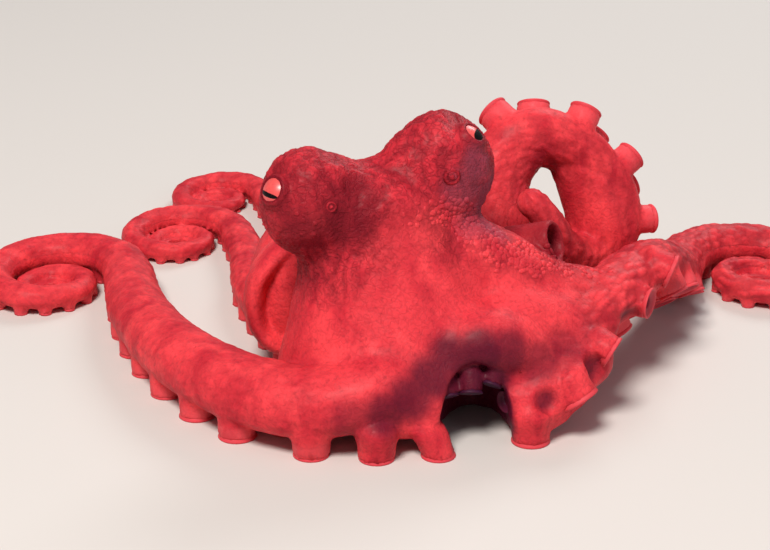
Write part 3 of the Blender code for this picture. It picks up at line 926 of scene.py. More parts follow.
@dataclass
class Suckers:
    """Two rows of cups that alternate under every arm, each on a short stalk of the skin."""

    width: float = 0.94       # of a sucker, in arm radii
    pitch: float = 1.55       # along a row, in sucker widths
    spread: float = 0.47      # from the arm's middle line to a row, in arm radii
    smallest: float = 0.9     # radius of the last cups
    jitter: float = 0.06      # share by which sizes differ
    rolled_out: tuple[Sucker, ...] = (
        lone_sucker((26, 12, 0.3), DOWN, 8.8, root=(14, 17, 21)), lone_sucker((-4, 9, 0.3), DOWN, 9.5),
        lone_sucker((-36, 13, 0.3), DOWN, 9.5), lone_sucker((72, 28, 0.5), DOWN, 10.0),
        lone_sucker((96, 33, 20), (0.53, -0.27, -0.81), 10.5, root=(86, 44, 34)),
        lone_sucker((113, 50, 38), (0.84, -0.30, -0.47), 8.9, root=(97, 64, 40)),
        lone_sucker((136, 92, 47), (0.90, -0.42, -0.07), 8.7, root=(117, 103, 48)),
        lone_sucker((149, 113, 56), (0.85, -0.20, -0.35), 9.5, root=(129, 126, 58)))
    # Suckers that hang in the gap over the mouth, made dark purple with painted shade.
    over_mouth: tuple[Sucker, ...] = (
        lone_sucker((31, 24, 26), (0.2, -0.5, -0.85), 5.6, painted_shade=1),
        lone_sucker((42, 26, 27), (0, -0.5, -0.85), 6.2, painted_shade=1),
        lone_sucker((52, 29, 30), (-0.3, -0.5, -0.8), 5.4, painted_shade=1),
        lone_sucker((59, 33, 19), (-0.8, -0.6, 0), 6.0, painted_shade=0.9))
    clearance: float = 1.9    # that a row keeps from a sucker outside it, in its own suckers' radii
    bare_tip: float = 4.0     # length at the end of an arm without suckers
    least_height: float = 0.15    # of a rim over the floor
    large: float = 7.0        # radius over which a cup has its fine form
    least_stalk: float = 2.6  # radius under which a cup sits straight on the arm
    stalk_lean: float = 1.5   # power by which a stalk leans towards its root
    stalk_aside: tuple[float, float, float] = (0.31, 0.95, 0.07)      # a direction that no stalk has
    # Along a stalk, from its root to inside the cup: depth and width in radii, and what the flare adds.
    stalk: tuple = ((2.2, 0.5, 0), (2.0, 0.8, 0.1), (1.6, 0.94, 0.25), (1.15, 0.94, 0.2), (0.7, 0.96, 0.05),
                    (0.3, 0.99, 0), (0.06, 0.97, 0), (0.15, 0.6, 0), (0.5, 0.3, 0))
    # Over a cup, from under its rim to the bottom of its hole: radius, height and how far painted shade
    # darkens it there.
    fine_cup: tuple = ((0.45, -0.44, 0), (0.70, -0.40, 0), (0.84, -0.28, 0), (0.93, -0.14, 0),
                       (0.99, -0.05, 0), (1.0, 0.02, 0), (0.96, 0.07, 0), (0.89, 0.05, 0.15),
                       (0.76, -0.04, 0.4), (0.60, -0.10, 0.5), (0.44, -0.13, 0.6), (0.36, -0.19, 0.85),
                       (0.32, -0.30, 1), (0.20, -0.40, 1))
    plain_cup: tuple = ((0.60, -0.55, 0), (0.95, -0.26, 0), (1.0, 0.02, 0), (0.78, 0.0, 0.2),
                        (0.42, -0.14, 0.5), (0.30, -0.40, 1))

    def apart(self) -> list[Sucker]:
        """The suckers that stand out of the rows."""
        return [*self.rolled_out, *self.over_mouth]

    def place(self, arm: Arm, line: ArmLine) -> list[Sucker]:
        """The suckers of one arm.

        Args:
            arm: The arm.
            line: Its middle line.

        Returns:
            Its suckers from the mouth outwards.
        """
        made, row = [], 1
        at, end = arm.rows
        while at < min(end, arm.length - self.bare_tip):
            spot = min(int(round(at / arm.STEP)), len(line.radii) - 1)
            radius, dorsal = line.radii[spot], line.dorsal[spot]
            half = radius * self.width / 2
            centre = line.places[spot] + line.aside[spot] * row * self.spread * radius
            rim = centre - dorsal * radius * (Arm.BOTTOM + Arm.SUCKER_HEIGHT)
            rim[2] = max(rim[2], self.least_height)
            if half < self.smallest:
                break
            room = min(np.linalg.norm(rim - lone.rim) - lone.radius for lone in self.apart())
            if room > self.clearance * half:
                made.append(Sucker(rim, -dorsal, half))
            at += self.pitch * self.width * radius / 2
            row = -row
        return made

    def press_stalks(self, clay: Clay, suckers: Iterable[Sucker], flare: float = 1.0) -> None:
        """Add a short stalk of flesh behind every cup.

        Args:
            clay: What to add them to.
            suckers: The suckers.
            flare: How far each stalk widens where it leaves the arm.
        """
        deepest = self.stalk[0][0]
        for sucker in suckers:
            if sucker.radius < self.least_stalk:
                continue
            side = unit(np.cross(sucker.facing, self.stalk_aside))
            over = np.cross(sucker.facing, side)
            straight = sucker.rim - sucker.facing * deepest * sucker.radius
            lean = np.zeros(3) if sucker.root is None else sucker.root - straight
            rings = []
            for depth, width, flared in self.stalk:
                width += flared * flare
                leaning = lean * (depth / deepest) ** self.stalk_lean
                centre = sucker.rim - sucker.facing * depth * sucker.radius + leaning
                rings.append(ellipse_ring(centre, side * width * sucker.radius,
                                          over * width * sucker.radius, 16))
            rings = np.stack(rings)
            rings[..., 2] = np.maximum(rings[..., 2], 0.0)
            clay.add_rings(rings)

    def cup(self, sides: int, fine: bool) -> bpy.types.Object:
        """A cup with a rim of radius 1 that faces +Z, with how far painted shade darkens each point down its
        hole.

        Args:
            sides: Points round the rim.
            fine: True for the large cups, whose rim and hole are rounded.

        Returns:
            The cup, still to be hidden or removed.
        """
        profile = self.fine_cup if fine else self.plain_cup
        rings = np.stack([ellipse_ring((0, 0, height), (radius, 0, 0), (0, radius, 0), sides)
                          for radius, height, _ in profile])
        clay = Clay()
        clay.add_rings(rings)
        made = mesh_object("cup", np.vstack(clay.corners), [face[::-1] for face in clay.faces])
        write_field(made.data, "hole_shade", np.repeat([hole_shade for *_, hole_shade in profile], sides))
        return made

    def tree(self, seed: int) -> bpy.types.NodeTree:
        """Geometry nodes that set a cup on every point, turned and sized by the point.

        Args:
            seed: For the differences in size.

        Returns:
            The tree.
        """
        tree = new_geometry_tree("set_suckers", Cup="NodeSocketObject", Jitter="NodeSocketFloat",
                                 Finish="NodeSocketMaterial")
        nodes = Nodes(tree)
        add = nodes.add
        given = add("NodeGroupInput").node.outputs
        least = add(MATH, 1.0, given["Jitter"], operation="SUBTRACT")
        chance = add("FunctionNodeRandomValue", inputs={2: least, 3: 1.0, "Seed": seed}, output=1,
                     data_type="FLOAT")
        size = add(MATH, add(NAMED, "size", output="Attribute"), chance, operation="MULTIPLY")
        facing = add(NAMED, "turn", output="Attribute", data_type="FLOAT_VECTOR")
        placed = add("GeometryNodeInstanceOnPoints", inputs={
            "Points": add("GeometryNodeMeshToPoints", inputs={"Mesh": given["Geometry"]}),
            "Instance": add("GeometryNodeObjectInfo", inputs={"Object": given["Cup"]}, output="Geometry"),
            "Rotation": add("FunctionNodeEulerToRotation", facing), "Scale": size})
        finish_tree(nodes, placed, given["Finish"])
        return tree

    def build(self, name: str, suckers: Sequence[Sucker], cup: bpy.types.Object,
              finish: bpy.types.Material, seed: int) -> bpy.types.Object:
        """Set cups on a group of suckers.

        Args:
            name: The piece's name.
            suckers: Where they sit.
            cup: The cup to repeat.
            finish: Its material.
            seed: For the differences in size.

        Returns:
            The piece, still in the layout.
        """
        piece = mesh_object(name, np.array([sucker.rim for sucker in suckers]), [])
        turns = [Vector(sucker.facing).to_track_quat("Z", "Y").to_euler() for sucker in suckers]
        write_field(piece.data, "turn", np.array(turns))
        write_field(piece.data, "size", np.array([sucker.radius for sucker in suckers]))
        write_field(piece.data, "painted_shade", np.array([sucker.painted_shade for sucker in suckers]))
        grow(piece, self.tree(seed), Cup=cup, Jitter=self.jitter, Finish=finish)
        points = read_points(piece.data)
        points[:, 2] = np.maximum(points[:, 2], 0.0)
        write_points(piece.data, points)
        piece.data.shade_smooth()
        return piece


# ----------------------------------------------------------------------------- the skin

def patches(points: np.ndarray, rows: Sequence[Sequence[float]]) -> np.ndarray:
    """How far points belong to round patches that fade from their middle to their edge.

    Args:
        points: Where to read the patches.
        rows: Each patch's centre, radius and strength.

    Returns:
        The strongest patch at each point.
    """
    return np.max([strength * smooth_step(radius, 0.4 * radius, np.linalg.norm(points - (x, y, z), axis=1))
                   for x, y, z, radius, strength in rows], axis=0)


@dataclass
class Skin:
    """The one skin over head, mantle and arms, with its folds and lids."""

    head: Head
    funnel: Funnel
    lines: dict[str, ArmLine]
    voxel: float
    faces: int
    # Round patches in the layout, each as its centre, its radius and its strength.
    warts: tuple = (
        (7, 52, 102, 16, 0.3), (17, 57, 106, 16, 0.5), (29, 63, 108, 14, 0.8), (37, 72, 106, 12, 1.0),
        (44, 70, 96, 17, 1.0), (57, 71, 87, 18, 1.0), (73, 75, 80, 18, 1.0), (89, 91, 70, 17, 0.9),
        (106, 96, 66, 15, 0.6), (-38, 47, 108, 15, 0.4), (-46, 54, 106, 14, 0.45))
    # Cool grey painted shade, on the outer side of the left turret and under its eye.
    ash: tuple = (
        (40, 70, 117, 17, 0.7), (47, 75, 128, 15, 0.75), (42, 74, 97, 13, 0.6), (54, 84, 108, 20, 0.9),
        (53, 77, 98, 11, 0.75), (58, 78, 91, 8, 0.6))
    # The right turret's dark red marking, then painted shade in the same dark red under the turret on the
    # neck, and on the funnel in the head's shadow.
    crimson: tuple = (
        (-15, 55, 117, 18, 0.8), (-22, 51, 116, 16, 0.7), (-19, 50, 108, 20, 0.9), (-31, 49, 110, 17, 0.6),
        (-38, 47, 101, 19, 0.85), (-41, 50, 90, 18, 0.75), (-43, 52, 78, 16, 0.6), (-7, 57, 112, 14, 0.45),
        (-41, 46, 122, 20, 0.4), (-46, 47, 110, 16, 0.5),
        (50, 112, 62, 24, 0.6), (68, 114, 68, 30, 0.8), (84, 107, 76, 27, 0.8))
    # Painted light, where the face, the apron, the front arms and the mantle's collar catch the light.
    bright: tuple = (
        (22, 57, 100, 17, 0.9), (0, 47, 94, 18, 0.5), (7, 33, 63, 24, 0.5), (-26, 14, 40, 20, 0.6),
        (79, 54, 59, 22, 0.8), (99, 80, 59, 22, 0.9), (119, 104, 63, 16, 0.8), (-56, 13, 29, 18, 0.4),
        (37, 50, 72, 22, 0.6), (67, 59, 68, 20, 0.8), (-52, 107, 37, 17, 1), (-55, 107, 20, 14, 1))
    # Dents, sunk in the relief and darkened there with purple painted shade.
    dents: tuple = ((120, 84, 40, 14, 1.0), (102, 43, 32, 10, 0.9), (79, 24, 24, 8, 0.9))
    # Purple painted shade: a band round the gap over the mouth, over the mouth's suckers, and on the shaded
    # bend of the left third arm.
    dusk: tuple = (
        (-16, 4, 22, 16, 0.5), (0, 5, 25, 16, 0.8), (12, 10, 31, 17, 0.85), (22, 19, 38, 17, 0.9),
        (32, 26, 47, 16, 0.9), (46, 25, 50, 17, 0.9), (61, 27, 49, 16, 0.8), (76, 34, 40, 16, 0.65),
        (89, 43, 41, 16, 0.5), (102, 57, 42, 15, 0.35), (60, 176, 60, 34, 0.5), (82, 190, 92, 26, 0.4),
        (31, 25, 31, 13, 1), (42, 26, 34, 14, 1), (53, 29, 34, 13, 1), (28, 18, 43, 16, 0.85),
        (38, 22, 46, 16, 0.95), (49, 24, 47, 16, 0.95), (60, 27, 44, 15, 0.85))
    # Steps between two values, the first of which gives 0 and the second 1.
    arm_skin: tuple[float, float] = (1.35, 1.05)      # arm radii from its middle line
    arm_start: tuple[float, float] = (48.0, 78.0)     # mm along an arm
    pale_under: tuple[float, float] = (0.45, 0.7)     # how far round to an arm's sucker side
    scaly_over: tuple[float, float] = (0.5, 0.15)
    net_reach: tuple[float, float] = (66.0, 34.0)     # mm from the middle of a turret
    gap_edge: tuple[float, float] = (1.16, 1.02)      # in the radii of the gap
    gap_depth: tuple[float, float] = (0.0, 7.0)       # mm behind the web's face
    lid_share: tuple[float, float] = (6.5, 2.6)       # mm outside an eye's opening
    least_net: float = 0.15
    dent_shade: float = 0.9    # of a dent's strength, as purple painted shade
    arm_apart: float = 500.0  # mm along, between the patterns of one arm and the next
    lid_cone: float = 0.25    # least cosine to an eye's aim at which the skin is part of its lids
    # The lids' height over the ball, by how far outside the opening they lie: sunk under the ball
    # inside it, then a rolled rim and a groove, then the brow.
    lid: tuple = ((-1.0, -2.6), (0.0, 0.35), (0.5, 1.05), (1.3, 1.1), (2.1, 0.45), (3.4, 0.75))
    # The lids' dark red painted shade: at the edge, and in the groove at its distance.
    lid_edge_step: tuple[float, float] = (0.8, 0.2)
    groove: float = 2.2
    groove_step: tuple[float, float] = (0.9, 0.2)
    groove_strength: float = 0.6
    drawn_down: tuple[float, float, float] = (1.0, 1.0, 0.4)      # folds run down the head
    # The relief, in millimetres: each pattern's size across, and the heights and depths.
    pattern_sizes: dict[str, float] = field(default_factory=lambda: {
        "Net": 5.5, "Fold": 13.0, "Scale": SCALE_SIZE, "Grain": 3.0, "Swell": 18.0})
    heights: dict[str, float] = field(default_factory=lambda: {
        "Net_Depth": 0.4, "Fold_Depth": 0.85, "Scale_Height": 0.9, "Grain_Height": 0.5,
        "Swell_Height": 1.7, "Dent_Depth": 4.0})

    def nearest_arm(self, points: np.ndarray) -> tuple[np.ndarray, ...]:
        """How each point lies against the arm nearest to it.

        Args:
            points: Places in the layout.

        Returns:
            How far each point belongs to an arm, how far round to its sucker side the point is, from
            -1 at the back to 1 under it, its place on the arm's own surface as lengths along and round,
            and how scaly the arm is.
        """
        names = list(self.lines)
        starts = np.cumsum([0] + [len(self.lines[name].places) for name in names])
        tree = kdtree.KDTree(int(starts[-1]))
        for name, start in zip(names, starts):
            for index, place in enumerate(self.lines[name].places):
                tree.insert(Vector(place), int(start) + index)
        tree.balance()
        nearest = np.array([tree.find(point)[1] for point in points.tolist()])
        places, aside, dorsal = (np.vstack([getattr(self.lines[name], part) for name in names])[nearest]
                                 for part in ("places", "aside", "dorsal"))
        radii, along = (np.concatenate([getattr(self.lines[name], part) for name in names])[nearest]
                        for part in ("radii", "along"))
        away = points - places
        high, wide = np.sum(away * dorsal, axis=1) / radii, np.sum(away * aside, axis=1) / radii
        along = along + np.sum(away * np.cross(dorsal, aside), axis=1)
        member = smooth_step(*self.arm_skin, np.hypot(high, wide)) * smooth_step(*self.arm_start, along)
        round_it = np.arctan2(wide, high)
        number = np.searchsorted(starts, nearest, side="right")
        along = along + number * self.arm_apart
        place = np.stack((along, round_it * radii, np.zeros(len(points))), axis=1)
        return member, -high, place, np.array([arm.scaly for arm in ARMS])[number - 1]

    def shape_lids(self, points: np.ndarray) -> np.ndarray:
        """Push the skin out into a lid round each eye, and in where the eye shows.

        Args:
            points: The skin's points.

        Returns:
            The points, moved.
        """
        points = points.copy()
        ball = self.head.eye_radius
        for side in Sides:
            eye = self.head.eye(side)
            away = points - eye.centre
            far = np.linalg.norm(away, axis=1)
            near = np.flatnonzero((far < EYE_REACH) & (away @ eye.aim > self.lid_cone * far))
            ray = away[near] / far[near, None]
            edge = self.head.lid_edge(side, points[near])
            lid = np.interp(edge, *zip(*self.lid))
            share = smooth_step(*self.lid_share, edge)
            reach = far[near] * (1 - share) + (ball + lid) * share
            points[near] = eye.centre + ray * reach[:, None]
        return points

    def relief_inputs(self) -> dict[str, float]:
        """The relief tree's inputs: how close each pattern lies in a millimetre, and every height."""
        close = {f"{name}_Frequency": 1.0 / size for name, size in self.pattern_sizes.items()}
        return close | self.heights

    def relief_tree(self) -> bpy.types.NodeTree:
        """Geometry nodes that raise folds, wrinkles and scales, and note where shade is painted in the
        creases.

        Returns:
            The tree.
        """
        floats = {name: "NodeSocketFloat" for name in self.relief_inputs()}
        tree = new_geometry_tree("skin_relief", **floats, Finish="NodeSocketMaterial")
        nodes = Nodes(tree, Places.LAYOUT)
        add = nodes.add
        given = add("NodeGroupInput").node.outputs
        pale, net_area, scale_area, dent = (add(NAMED, name, output="Attribute") for name in (
            Area.PALE.value, Area.NET.value, Area.SCALES.value, "dent"))
        net = add(MATH, nodes.creases(given["Net Frequency"], 8.0), net_area, operation="MULTIPLY")
        drawn_down = add(VECTOR_MATH, nodes.place, self.drawn_down, operation="MULTIPLY")
        folds = nodes.creases(given["Fold Frequency"], 7.0, drawn_down, 1.0)
        folds = add(MATH, folds, net_area, operation="MULTIPLY")
        rows = add(NAMED, "arm_place", output="Attribute", data_type="FLOAT_VECTOR")
        rows = add(VECTOR_MATH, rows, (SCALE_STRETCH, 1.0, 1.0), operation="MULTIPLY")
        gaps = add(MATH, 1.0, nodes.domes(given["Scale Frequency"], rows), operation="SUBTRACT")
        gaps = add(MATH, gaps, scale_area, operation="MULTIPLY")
        # Noise runs from 0 to 1, so it is centred to lift some skin and lower the rest.
        grain, height = (add(MATH, add(NOISE, inputs={"Vector": nodes.place, "Scale": given[close]}),
                             nodes.MEAN, operation="SUBTRACT")
                         for close in ("Grain Frequency", "Swell Frequency"))
        bare = add(MATH, 1.0, pale, operation="SUBTRACT")
        grain = add(MATH, grain, bare, operation="MULTIPLY")
        height = add(MATH, height, given["Swell Height"], operation="MULTIPLY")
        height = add(MATH, grain, given["Grain Height"], height, operation="MULTIPLY_ADD")
        for part, depth in ((gaps, "Scale Height"), (net, "Net Depth"), (folds, "Fold Depth"),
                            (dent, "Dent Depth")):
            sunk = add(MATH, part, -1.0, operation="MULTIPLY")
            height = add(MATH, sunk, given[depth], height, operation="MULTIPLY_ADD")
        # Where the finish paints shade: the gaps between scales, the folds and the wrinkles.
        crease = add(MATH, gaps, 0.35, folds, operation="MULTIPLY_ADD")
        crease = add(MATH, add(MATH, net, 0.5, operation="MULTIPLY"), crease, operation="ADD",
                     use_clamp=True)
        offset = add(VECTOR_MATH, add("GeometryNodeInputNormal"), inputs={"Scale": height},
                     operation="SCALE")
        noted = add("GeometryNodeStoreNamedAttribute", data_type="FLOAT", domain="POINT", inputs={
            "Geometry": given["Geometry"], "Name": "crease", "Value": crease})
        moved = add("GeometryNodeSetPosition", inputs={"Geometry": noted, "Offset": offset})
        finish_tree(nodes, moved, given["Finish"])
        return tree

    def write_areas(self, mesh: bpy.types.Mesh) -> None:
        """Store how far each point belongs to each kind of skin, and to painted light and shade.

        Args:
            mesh: The skin's mesh, still in the layout.
        """
        points = read_points(mesh)
        member, oral, arm_place, scaly = self.nearest_arm(points)
        head = self.head
        near_eyes = np.min([np.linalg.norm(points - head.turret(side), axis=1) for side in Sides], axis=0)
        in_gap = np.linalg.norm((points - head.gap_centre) / head.gap_radii, axis=1)
        # Painted light, and cool grey painted shade by the left eye, are patches like the warts.
        fields = {Area.WARTS: patches(points, self.warts), Area.COOL_SHADE: patches(points, self.ash),
                  Area.PAINTED_LIGHT: patches(points, self.bright)}
        bare = 1 - fields[Area.WARTS]
        fields[Area.PALE] = member * smooth_step(*self.pale_under, oral)
        # The right turret's dark red, and dark red painted shade down the funnel's bore.
        fields[Area.CRIMSON_AND_SHADE] = np.maximum(patches(points, self.crimson), self.funnel.inside(points))
        # Purple painted shade: in the pocket of the gap behind the web's face, in the dents and in its
        # patches.
        behind = points[:, 1] - (head.gap_front + head.gap_slope * points[:, 2])
        hole_shade = smooth_step(*self.gap_edge, in_gap) * smooth_step(*self.gap_depth, behind)
        dented = patches(points, self.dents)
        fields[Area.PURPLE_SHADE] = np.max([patches(points, self.dusk), self.dent_shade * dented, hole_shade], axis=0)
        net = smooth_step(*self.net_reach, near_eyes) - fields[Area.WARTS]
        fields[Area.NET] = np.clip(net, self.least_net, 1) * (1 - member)
        fields[Area.SCALES] = member * scaly * smooth_step(*self.scaly_over, oral) * bare
        # Dark red painted shade along each lid's edge and in the groove round it.
        for side in Sides:
            edge = head.lid_edge(side, points)
            near = np.linalg.norm(points - head.eye(side).centre, axis=1) < EYE_REACH
            groove = self.groove_strength * smooth_step(*self.groove_step, np.abs(edge - self.groove))
            rim = np.maximum(smooth_step(*self.lid_edge_step, edge), groove)
            fields[Area.CRIMSON_AND_SHADE] = np.maximum(fields[Area.CRIMSON_AND_SHADE], rim * near)
        for kind, values in fields.items():
            write_field(mesh, kind.value, values)
        write_field(mesh, "arm_place", arm_place)
        write_field(mesh, "dent", dented)

    def build(self, clay: Clay, finish: bpy.types.Material) -> bpy.types.Object:
        """Cast the skin, shape it and thin it.

        Args:
            clay: Every form of flesh.
            finish: The skin's material.

        Returns:
            The skin, still in the layout.
        """
        skin = clay.cast("skin", self.voxel, soften=max(2, round(6 / self.voxel ** 2)))
        self.drop_crumbs(skin)
        LOG.info("skin cast with %d points", len(skin.data.vertices))
        self.write_areas(skin.data)
        grow(skin, self.relief_tree(), Finish=finish, **self.relief_inputs())
        points = self.shape_lids(read_points(skin.data))
        points[:, 2] = np.maximum(points[:, 2], 0.0)
        write_points(skin.data, points)
        triangles = sum(len(face.vertices) - 2 for face in skin.data.polygons)
        add_modifier(skin, "DECIMATE", ratio=min(1.0, self.faces / triangles))
        bake(skin)
        skin.data.shade_smooth()
        return skin

    def drop_crumbs(self, skin: bpy.types.Object) -> None:
        """Keep only the largest body of a mesh, and leave out what is sealed inside it.

        Args:
            skin: The skin, which gets a new mesh where it has crumbs.
        """
        mesh = skin.data
        edges = np.empty(len(mesh.edges) * 2, dtype=np.int32)
        mesh.edges.foreach_get("vertices", edges)
        ends = edges.reshape(-1, 2)
        label = np.arange(len(mesh.vertices))
        while True:
            low = np.minimum(label[ends[:, 0]], label[ends[:, 1]])
            before = label.copy()
            np.minimum.at(label, ends[:, 0], low)
            np.minimum.at(label, ends[:, 1], low)
            label = label[label]
            if np.array_equal(before, label):
                break
        largest = np.bincount(label).argmax()
        if np.all(label == largest):
            return
        keep = label == largest
        number = np.cumsum(keep) - 1
        faces = [[int(number[index]) for index in face.vertices]
                 for face in mesh.polygons if keep[face.vertices[0]]]
        points = read_points(mesh)[keep]
        rebuilt = bpy.data.meshes.new("skin")
        rebuilt.from_pydata(points.tolist(), [], faces)
        skin.data = rebuilt


@dataclass
class Papillae:
    """Soft beads that stand close together on the neck and shoulder, and two ringed ones."""

    spacing: float = 2.0
    density: float = 0.9      # at most, for each square millimetre
    smallest: float = 1.0     # radius of the beads
    largest: float = 2.2
    narrowest: tuple[float, float, float] = (0.75, 0.75, 0.6)     # shares by which a bead is stretched
    widest: tuple[float, float, float] = (1.35, 1.35, 1.0)
    sides: int = 8
    seed: int = 7
    profile: tuple = (        # of a bead: radius, height and how far it is top and not foot
        (1.35, -0.35, 0.0), (1.12, -0.02, 0.25), (0.92, 0.20, 0.7), (0.64, 0.38, 1.0), (0.28, 0.47, 1.0))
    crowding: tuple[float, float] = (1.8, -0.55)      # beads by how warty the skin is: slope and start
    swelling: tuple[float, float] = (0.65, 0.35)      # their size, in the same way
    # The ringed ones: a place near each, a place inside the head behind it, its scale and its lift.
    rings: tuple = (((-26, 49, 116), (-35, 75, 112), 0.6, 0.8), ((33, 68, 124), (28, 92, 122), 0.9, 0.1))
    ring_sides: int = 24
    ring_profile: tuple = (      # radius, height and how far dark red painted shade darkens it
        (4.9, -0.9, 0.65), (4.3, -0.25, 0.6), (3.8, 0.05, 0.45), (3.3, 0.0, 0.6), (2.8, -0.3, 0.95),
        (2.2, -0.4, 1.0), (1.6, -0.15, 0.8), (1.1, 0.3, 0.3), (0.6, 0.5, 0.15), (0.2, 0.55, 0.1))

    def bead(self) -> bpy.types.Object:
        """Make a bead of radius 1 with a foot that runs into the skin.

        Returns:
            The bead, to be repeated and then removed.
        """
        clay = Clay()
        clay.add_rings(np.stack([ellipse_ring((0, 0, height), (radius, 0, 0), (0, radius, 0), self.sides)
                                 for radius, height, _ in self.profile]))
        made = mesh_object("bead", np.vstack(clay.corners), clay.faces)
        write_field(made.data, "bead", np.repeat([top for *_, top in self.profile], self.sides))
        return made

    def tree(self) -> bpy.types.NodeTree:
        """Geometry nodes that scatter beads where the skin is warty.

        Returns:
            The tree.
        """
        tree = new_geometry_tree("grow_papillae", Bead="NodeSocketObject", Spacing="NodeSocketFloat",
                                 Density="NodeSocketFloat", Smallest="NodeSocketFloat",
                                 Largest="NodeSocketFloat", Finish="NodeSocketMaterial")
        nodes = Nodes(tree)
        add = nodes.add
        given = add("NodeGroupInput").node.outputs
        warty = add(NAMED, Area.WARTS.value, output="Attribute")
        crowded = add(MATH, warty, *self.crowding, operation="MULTIPLY_ADD", use_clamp=True)
        spread = add("GeometryNodeDistributePointsOnFaces", distribute_method="POISSON", inputs={
            "Mesh": given["Geometry"], "Distance Min": given["Spacing"], "Density Max": given["Density"],
            "Density Factor": crowded, "Seed": self.seed}).node.outputs
        size = add("FunctionNodeRandomValue", data_type="FLOAT", output=1, inputs={
            2: given["Smallest"], 3: given["Largest"], "Seed": self.seed})
        swollen = add(MATH, warty, *self.swelling, operation="MULTIPLY_ADD")
        size = add(MATH, size, swollen, operation="MULTIPLY")
        uneven = add("FunctionNodeRandomValue", data_type="FLOAT_VECTOR", inputs={
            0: self.narrowest, 1: self.widest, "Seed": self.seed + 1})
        placed = add("GeometryNodeInstanceOnPoints", inputs={
            "Points": spread["Points"], "Rotation": spread["Rotation"],
            "Instance": add("GeometryNodeObjectInfo", inputs={"Object": given["Bead"]}, output="Geometry"),
            "Scale": add(VECTOR_MATH, uneven, inputs={"Scale": size}, operation="SCALE")})
        finish_tree(nodes, placed, given["Finish"])
        return tree

    def build(self, skin: bpy.types.Object, finish: bpy.types.Material) -> bpy.types.Object:
        """Grow the beads on the finished skin.

        Args:
            skin: The skin, still in the layout.
            finish: Its material.

        Returns:
            The beads, still in the layout.
        """
        piece = bpy.data.objects.new("papillae", skin.data.copy())
        bpy.context.scene.collection.objects.link(piece)
        bead = self.bead()
        grow(piece, self.tree(), Bead=bead, Spacing=self.spacing, Density=self.density,
             Smallest=self.smallest, Largest=self.largest, Finish=finish)
        bpy.data.objects.remove(bead)
        piece.data.shade_smooth()
        return piece

    def ringed(self, skin: bpy.types.Object, finish: bpy.types.Material) -> bpy.types.Object:
        """The two ringed papillae, each lying on the skin.

        Args:
            skin: The skin, still in the layout.
            finish: Its material.

        Returns:
            The two, still in the layout.
        """
        clay = Clay()
        for place, middle, scale, lift in self.rings:
            _, spot, _, _ = skin.closest_point_on_mesh(Vector(place))
            normal = unit(np.array(spot) - middle)
            side = unit(np.cross(normal, UPRIGHT))
            over = np.cross(side, normal)
            clay.add_rings(np.stack([
                ellipse_ring(np.array(spot) + normal * (height * scale + lift), side * radius * scale,
                             -over * radius * scale, self.ring_sides)
                for radius, height, _ in self.ring_profile]))
        made = mesh_object("ringed_papillae", np.vstack(clay.corners), clay.faces)
        # Dark red painted shade, deepest in each one's sunken ring.
        dark = np.repeat([dark for *_, dark in self.ring_profile], self.ring_sides)
        dark = np.tile(dark, len(self.rings))
        write_field(made.data, Area.CRIMSON_AND_SHADE.value, dark)
        write_field(made.data, Area.NET.value, np.ones(len(dark)))
        made.data.materials.append(finish)
        return made


# ----------------------------------------------------------------------------- finishes

def linear(shade: str) -> tuple[float, float, float, float]:
    """An sRGB colour such as "C83040" as linear red, green, blue and 1."""
    parts = [int(shade[index:index + 2], 16) / 255 for index in (0, 2, 4)]
    return tuple(p / 12.92 if p <= 0.04045 else ((p + 0.055) / 1.055) ** 2.4 for p in parts) + (1.0,)


def new_material(name: str) -> tuple[bpy.types.Material, bpy.types.Node]:
    """Make a material.

    Args:
        name: What it is in the real thing.

    Returns:
        The material and its shader.
    """
    material = bpy.data.materials.new(name)
    material.use_nodes = True
    return material, material.node_tree.nodes["Principled BSDF"]


def set_inputs(node: bpy.types.Node, values: dict[str, Any]) -> None:
    """Give a node's inputs constant values, or link sockets to them.

    Args:
        node: The node.
        values: A value or a socket for each input, by name.
    """
    for label, value in values.items():
        if isinstance(value, bpy.types.NodeSocket):
            node.id_data.links.new(value, node.inputs[label])
        else:
            node.inputs[label].default_value = value


